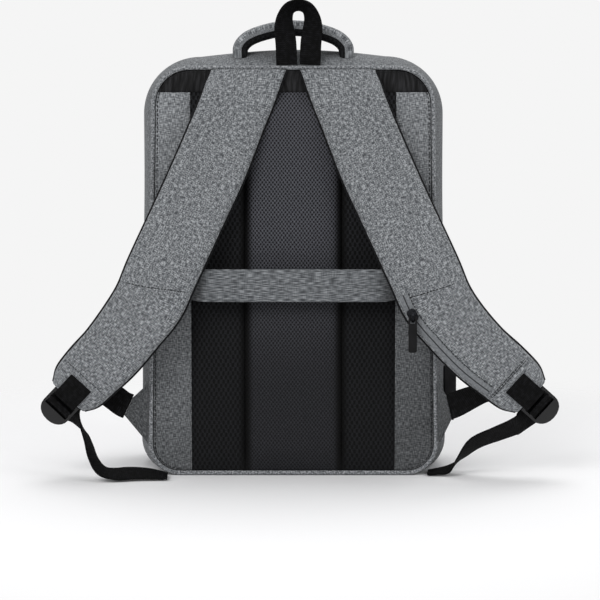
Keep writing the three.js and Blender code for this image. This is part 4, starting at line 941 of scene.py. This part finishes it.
def makeTail(name, side):
    one = buckleFrame(side)
    down = one.across * (-1 if one.across[2] > 0 else 1)
    layer = -strapLayer - hardware.wall - gap
    rows = [np.concatenate([one.place + one.run * side.seat + down * share * hardware.webbing
                            + one.face * (layer - i * 2 * hardware.wall), -one.run])
            for i, share in enumerate((-0.52, 0.2))]
    table = np.array(tails[name])
    places = table[:, [0, 2, 1]] * one.place
    for i, place in enumerate(places):
        run = unit(places[min(i + 1, len(places) - 1)] - places[max(i - 1, 0)])
        near = unit(np.cross([0, 0, 1.0], run))
        up = unit(np.cross(run, near))
        tip = math.radians(table[i, 3])
        rows.append(np.concatenate([place, near * math.cos(tip) + up * math.sin(tip)]))
    ribbonRows("tail_webbing_" + name, rows, 120, side, node="strap_tail_" + name)


def bevelled(name, node, width, cloth, body="bag", segments=3):
    # A moulded or cast piece: the frame's own solid, merged, with its edges rounded by a bevel.
    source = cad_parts[node]
    mesh = source.data.copy()
    mesh.name = name
    piece = addObject(name, mesh)
    mesh.materials.clear()
    mesh.materials.append(cloths[cloth])
    weld = piece.modifiers.new("weld", "WELD")
    weld.merge_threshold = 0.00002
    bevel = piece.modifiers.new("bevel", "BEVEL")
    bevel.width, bevel.segments, bevel.limit_method = width * mm, segments, "ANGLE"
    bevel.angle_limit = math.radians(35)
    mesh.polygons.foreach_set("use_smooth", np.ones(len(mesh.polygons), bool))
    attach(piece, body)
    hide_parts(node)
    return piece


for sideName, sideFacts in sides.items():
    makeTab(sideName, sideFacts)
    makeWing(sideName, sideFacts)
    makeLowerStrap(sideName, sideFacts)
    makeTail(sideName, sideFacts)
    bevelled("buckle_moulding_" + sideName, "buckle_" + sideName, 0.7, "buckle")
print("webbing and buckles made")

# Pocket zip on the right strap, main zip and charging port
pocket = named(span=(0.44, 0.81), tape=9.0, edge=2.0, wall=1.2)
mainZip = named(width=10.0, inset=22.0, low=150.0, wall=1.2)


def makePocketZip():
    side = sides["right"]
    shares = np.linspace(*pocket.span, 90)
    f = strapFrames(side, shares)
    s = np.linspace(0, 1, 10)[None, :]
    across = -(f.width[:, None] / 2 - pocket.edge - pocket.tape * s)
    cad = np.array([0.5, 0.47, 0.4, 0.2, 0.0]), np.array([0.42, 0.72, 0.92, 1, 1])
    high = np.interp(np.abs(across) / f.width[:, None], cad[0][::-1], cad[1][::-1])
    height = (strap.lining + gap + high * strap.face) * f.thick[:, None]
    lift = gap + 0.1
    grids = [offsetFrom(f, across, height + lift + wall) for wall in (pocket.wall, 0.0)]
    travel = lengthAlong(f.place)[:, None]
    uv = np.stack([(s - 0.5) * pocket.tape + 0 * across, travel + 0 * across], -1)
    slab("pocket_zip_tape", grids, "pocketTape", uv, node="pocket_zip")
    a = -(f.width / 2 - pocket.edge - pocket.tape - 1.0)
    rise = faceHeight(f, a / f.width) - 0.1
    path = f.place + f.across * a[:, None] + f.face * rise[:, None]
    stitchRow("pocket_stitches", path, f.face, 3.0, 2.2, 0.4, "darkThread")


def makeMainZip():
    first = 1 - (mainZip.inset + mainZip.width) / bag.depth
    depths = np.linspace(first, 1 - mainZip.inset / bag.depth, 11)
    keep = lambda z: z > mainZip.low
    grids = [gussetGrid(depths, lift, keep) for lift in (0.6 + mainZip.wall, 0.5)]
    u = np.linspace(-0.5, 0.5, 11)[None, :] * mainZip.width + 0 * grids[0][..., 0]
    v = lengthAlong(grids[0][:, 5])[:, None] + 0 * u
    slab("main_zip_tape", grids, "mainTape", np.stack([u, v], -1), node="main_zip")


makePocketZip()
makeMainZip()
bevelled("pocket_slider", "zip_slider", 0.45, "slider")
bevelled("pocket_pull", "zip_pull", 0.4, "pull", body="zip_pull")
bevelled("main_pull", "main_zip_pull", 0.7, "pull")
bevelled("port_housing", "charging_port", 1.6, "port", segments=4)
print("zips and port made")

# Stage: pale floor that fades into a pale world, and soft lights
studio = named(floor="#f6f6f7", world="#f5f5f5", fadeFrom=0.32, fadeTo=0.8, fill=0.55, key=26.0,
               rim=9.0, top=14.0)


def makeStage():
    mesh = bpy.data.meshes.new("studioFloor")
    r, z = 6.0, -0.0006
    mesh.from_pydata([(-r, -r, z), (r, -r, z), (r, r, z), (-r, r, z)], [], [(0, 1, 2, 3)])
    floor = addObject("studioFloor", mesh)
    material, add, place = startMaterial("paleFloor", weave=False)
    away = add("VectorMath", "LENGTH", {0: place}).outputs["Value"]
    fade = add("MapRange", soften, {0: away, 1: studio.fadeFrom, 2: studio.fadeTo})
    paint = add("BsdfDiffuse", None, {0: hexColor(studio.floor)})
    clear = add("BsdfTransparent")
    both = add("MixShader", None, {0: fade, 1: paint, 2: clear})
    add("OutputMaterial", None, {"Surface": both})
    mesh.materials.append(material)
    world = bpy.data.worlds.new("studioWorld")
    add = bareTree(world)
    seen = add("Background", None, {0: hexColor(studio.world), 1: 1.0})
    lit = add("Background", None, {0: (1, 1, 1, 1), 1: studio.fill})
    ray = add("LightPath").outputs["Is Camera Ray"]
    both = add("MixShader", None, {0: ray, 1: lit, 2: seen})
    add("OutputWorld", None, {"Surface": both})
    bpy.context.scene.world = world
    lamps = (("keyLight", studio.key, (-1.0, -1.9, 1.5), 1.1),
             ("rimLight", studio.rim, (1.7, -1.2, 0.9), 0.9),
             ("topLight", studio.top, (0.1, 0.5, 2.0), 1.2))
    for name, power, spot, size in lamps:
        lamp = bpy.data.lights.new(name, "AREA")
        lamp.energy, lamp.size = power, size
        lampObject = addObject(name, lamp)
        lampObject.location = spot
        aimed = Vector((0, 0, 0.2)) - Vector(spot)
        lampObject.rotation_euler = aimed.to_track_quat("-Z", "Y").to_euler()
    bpy.context.scene.view_settings.view_transform = "Standard"


makeStage()
print("stage made")
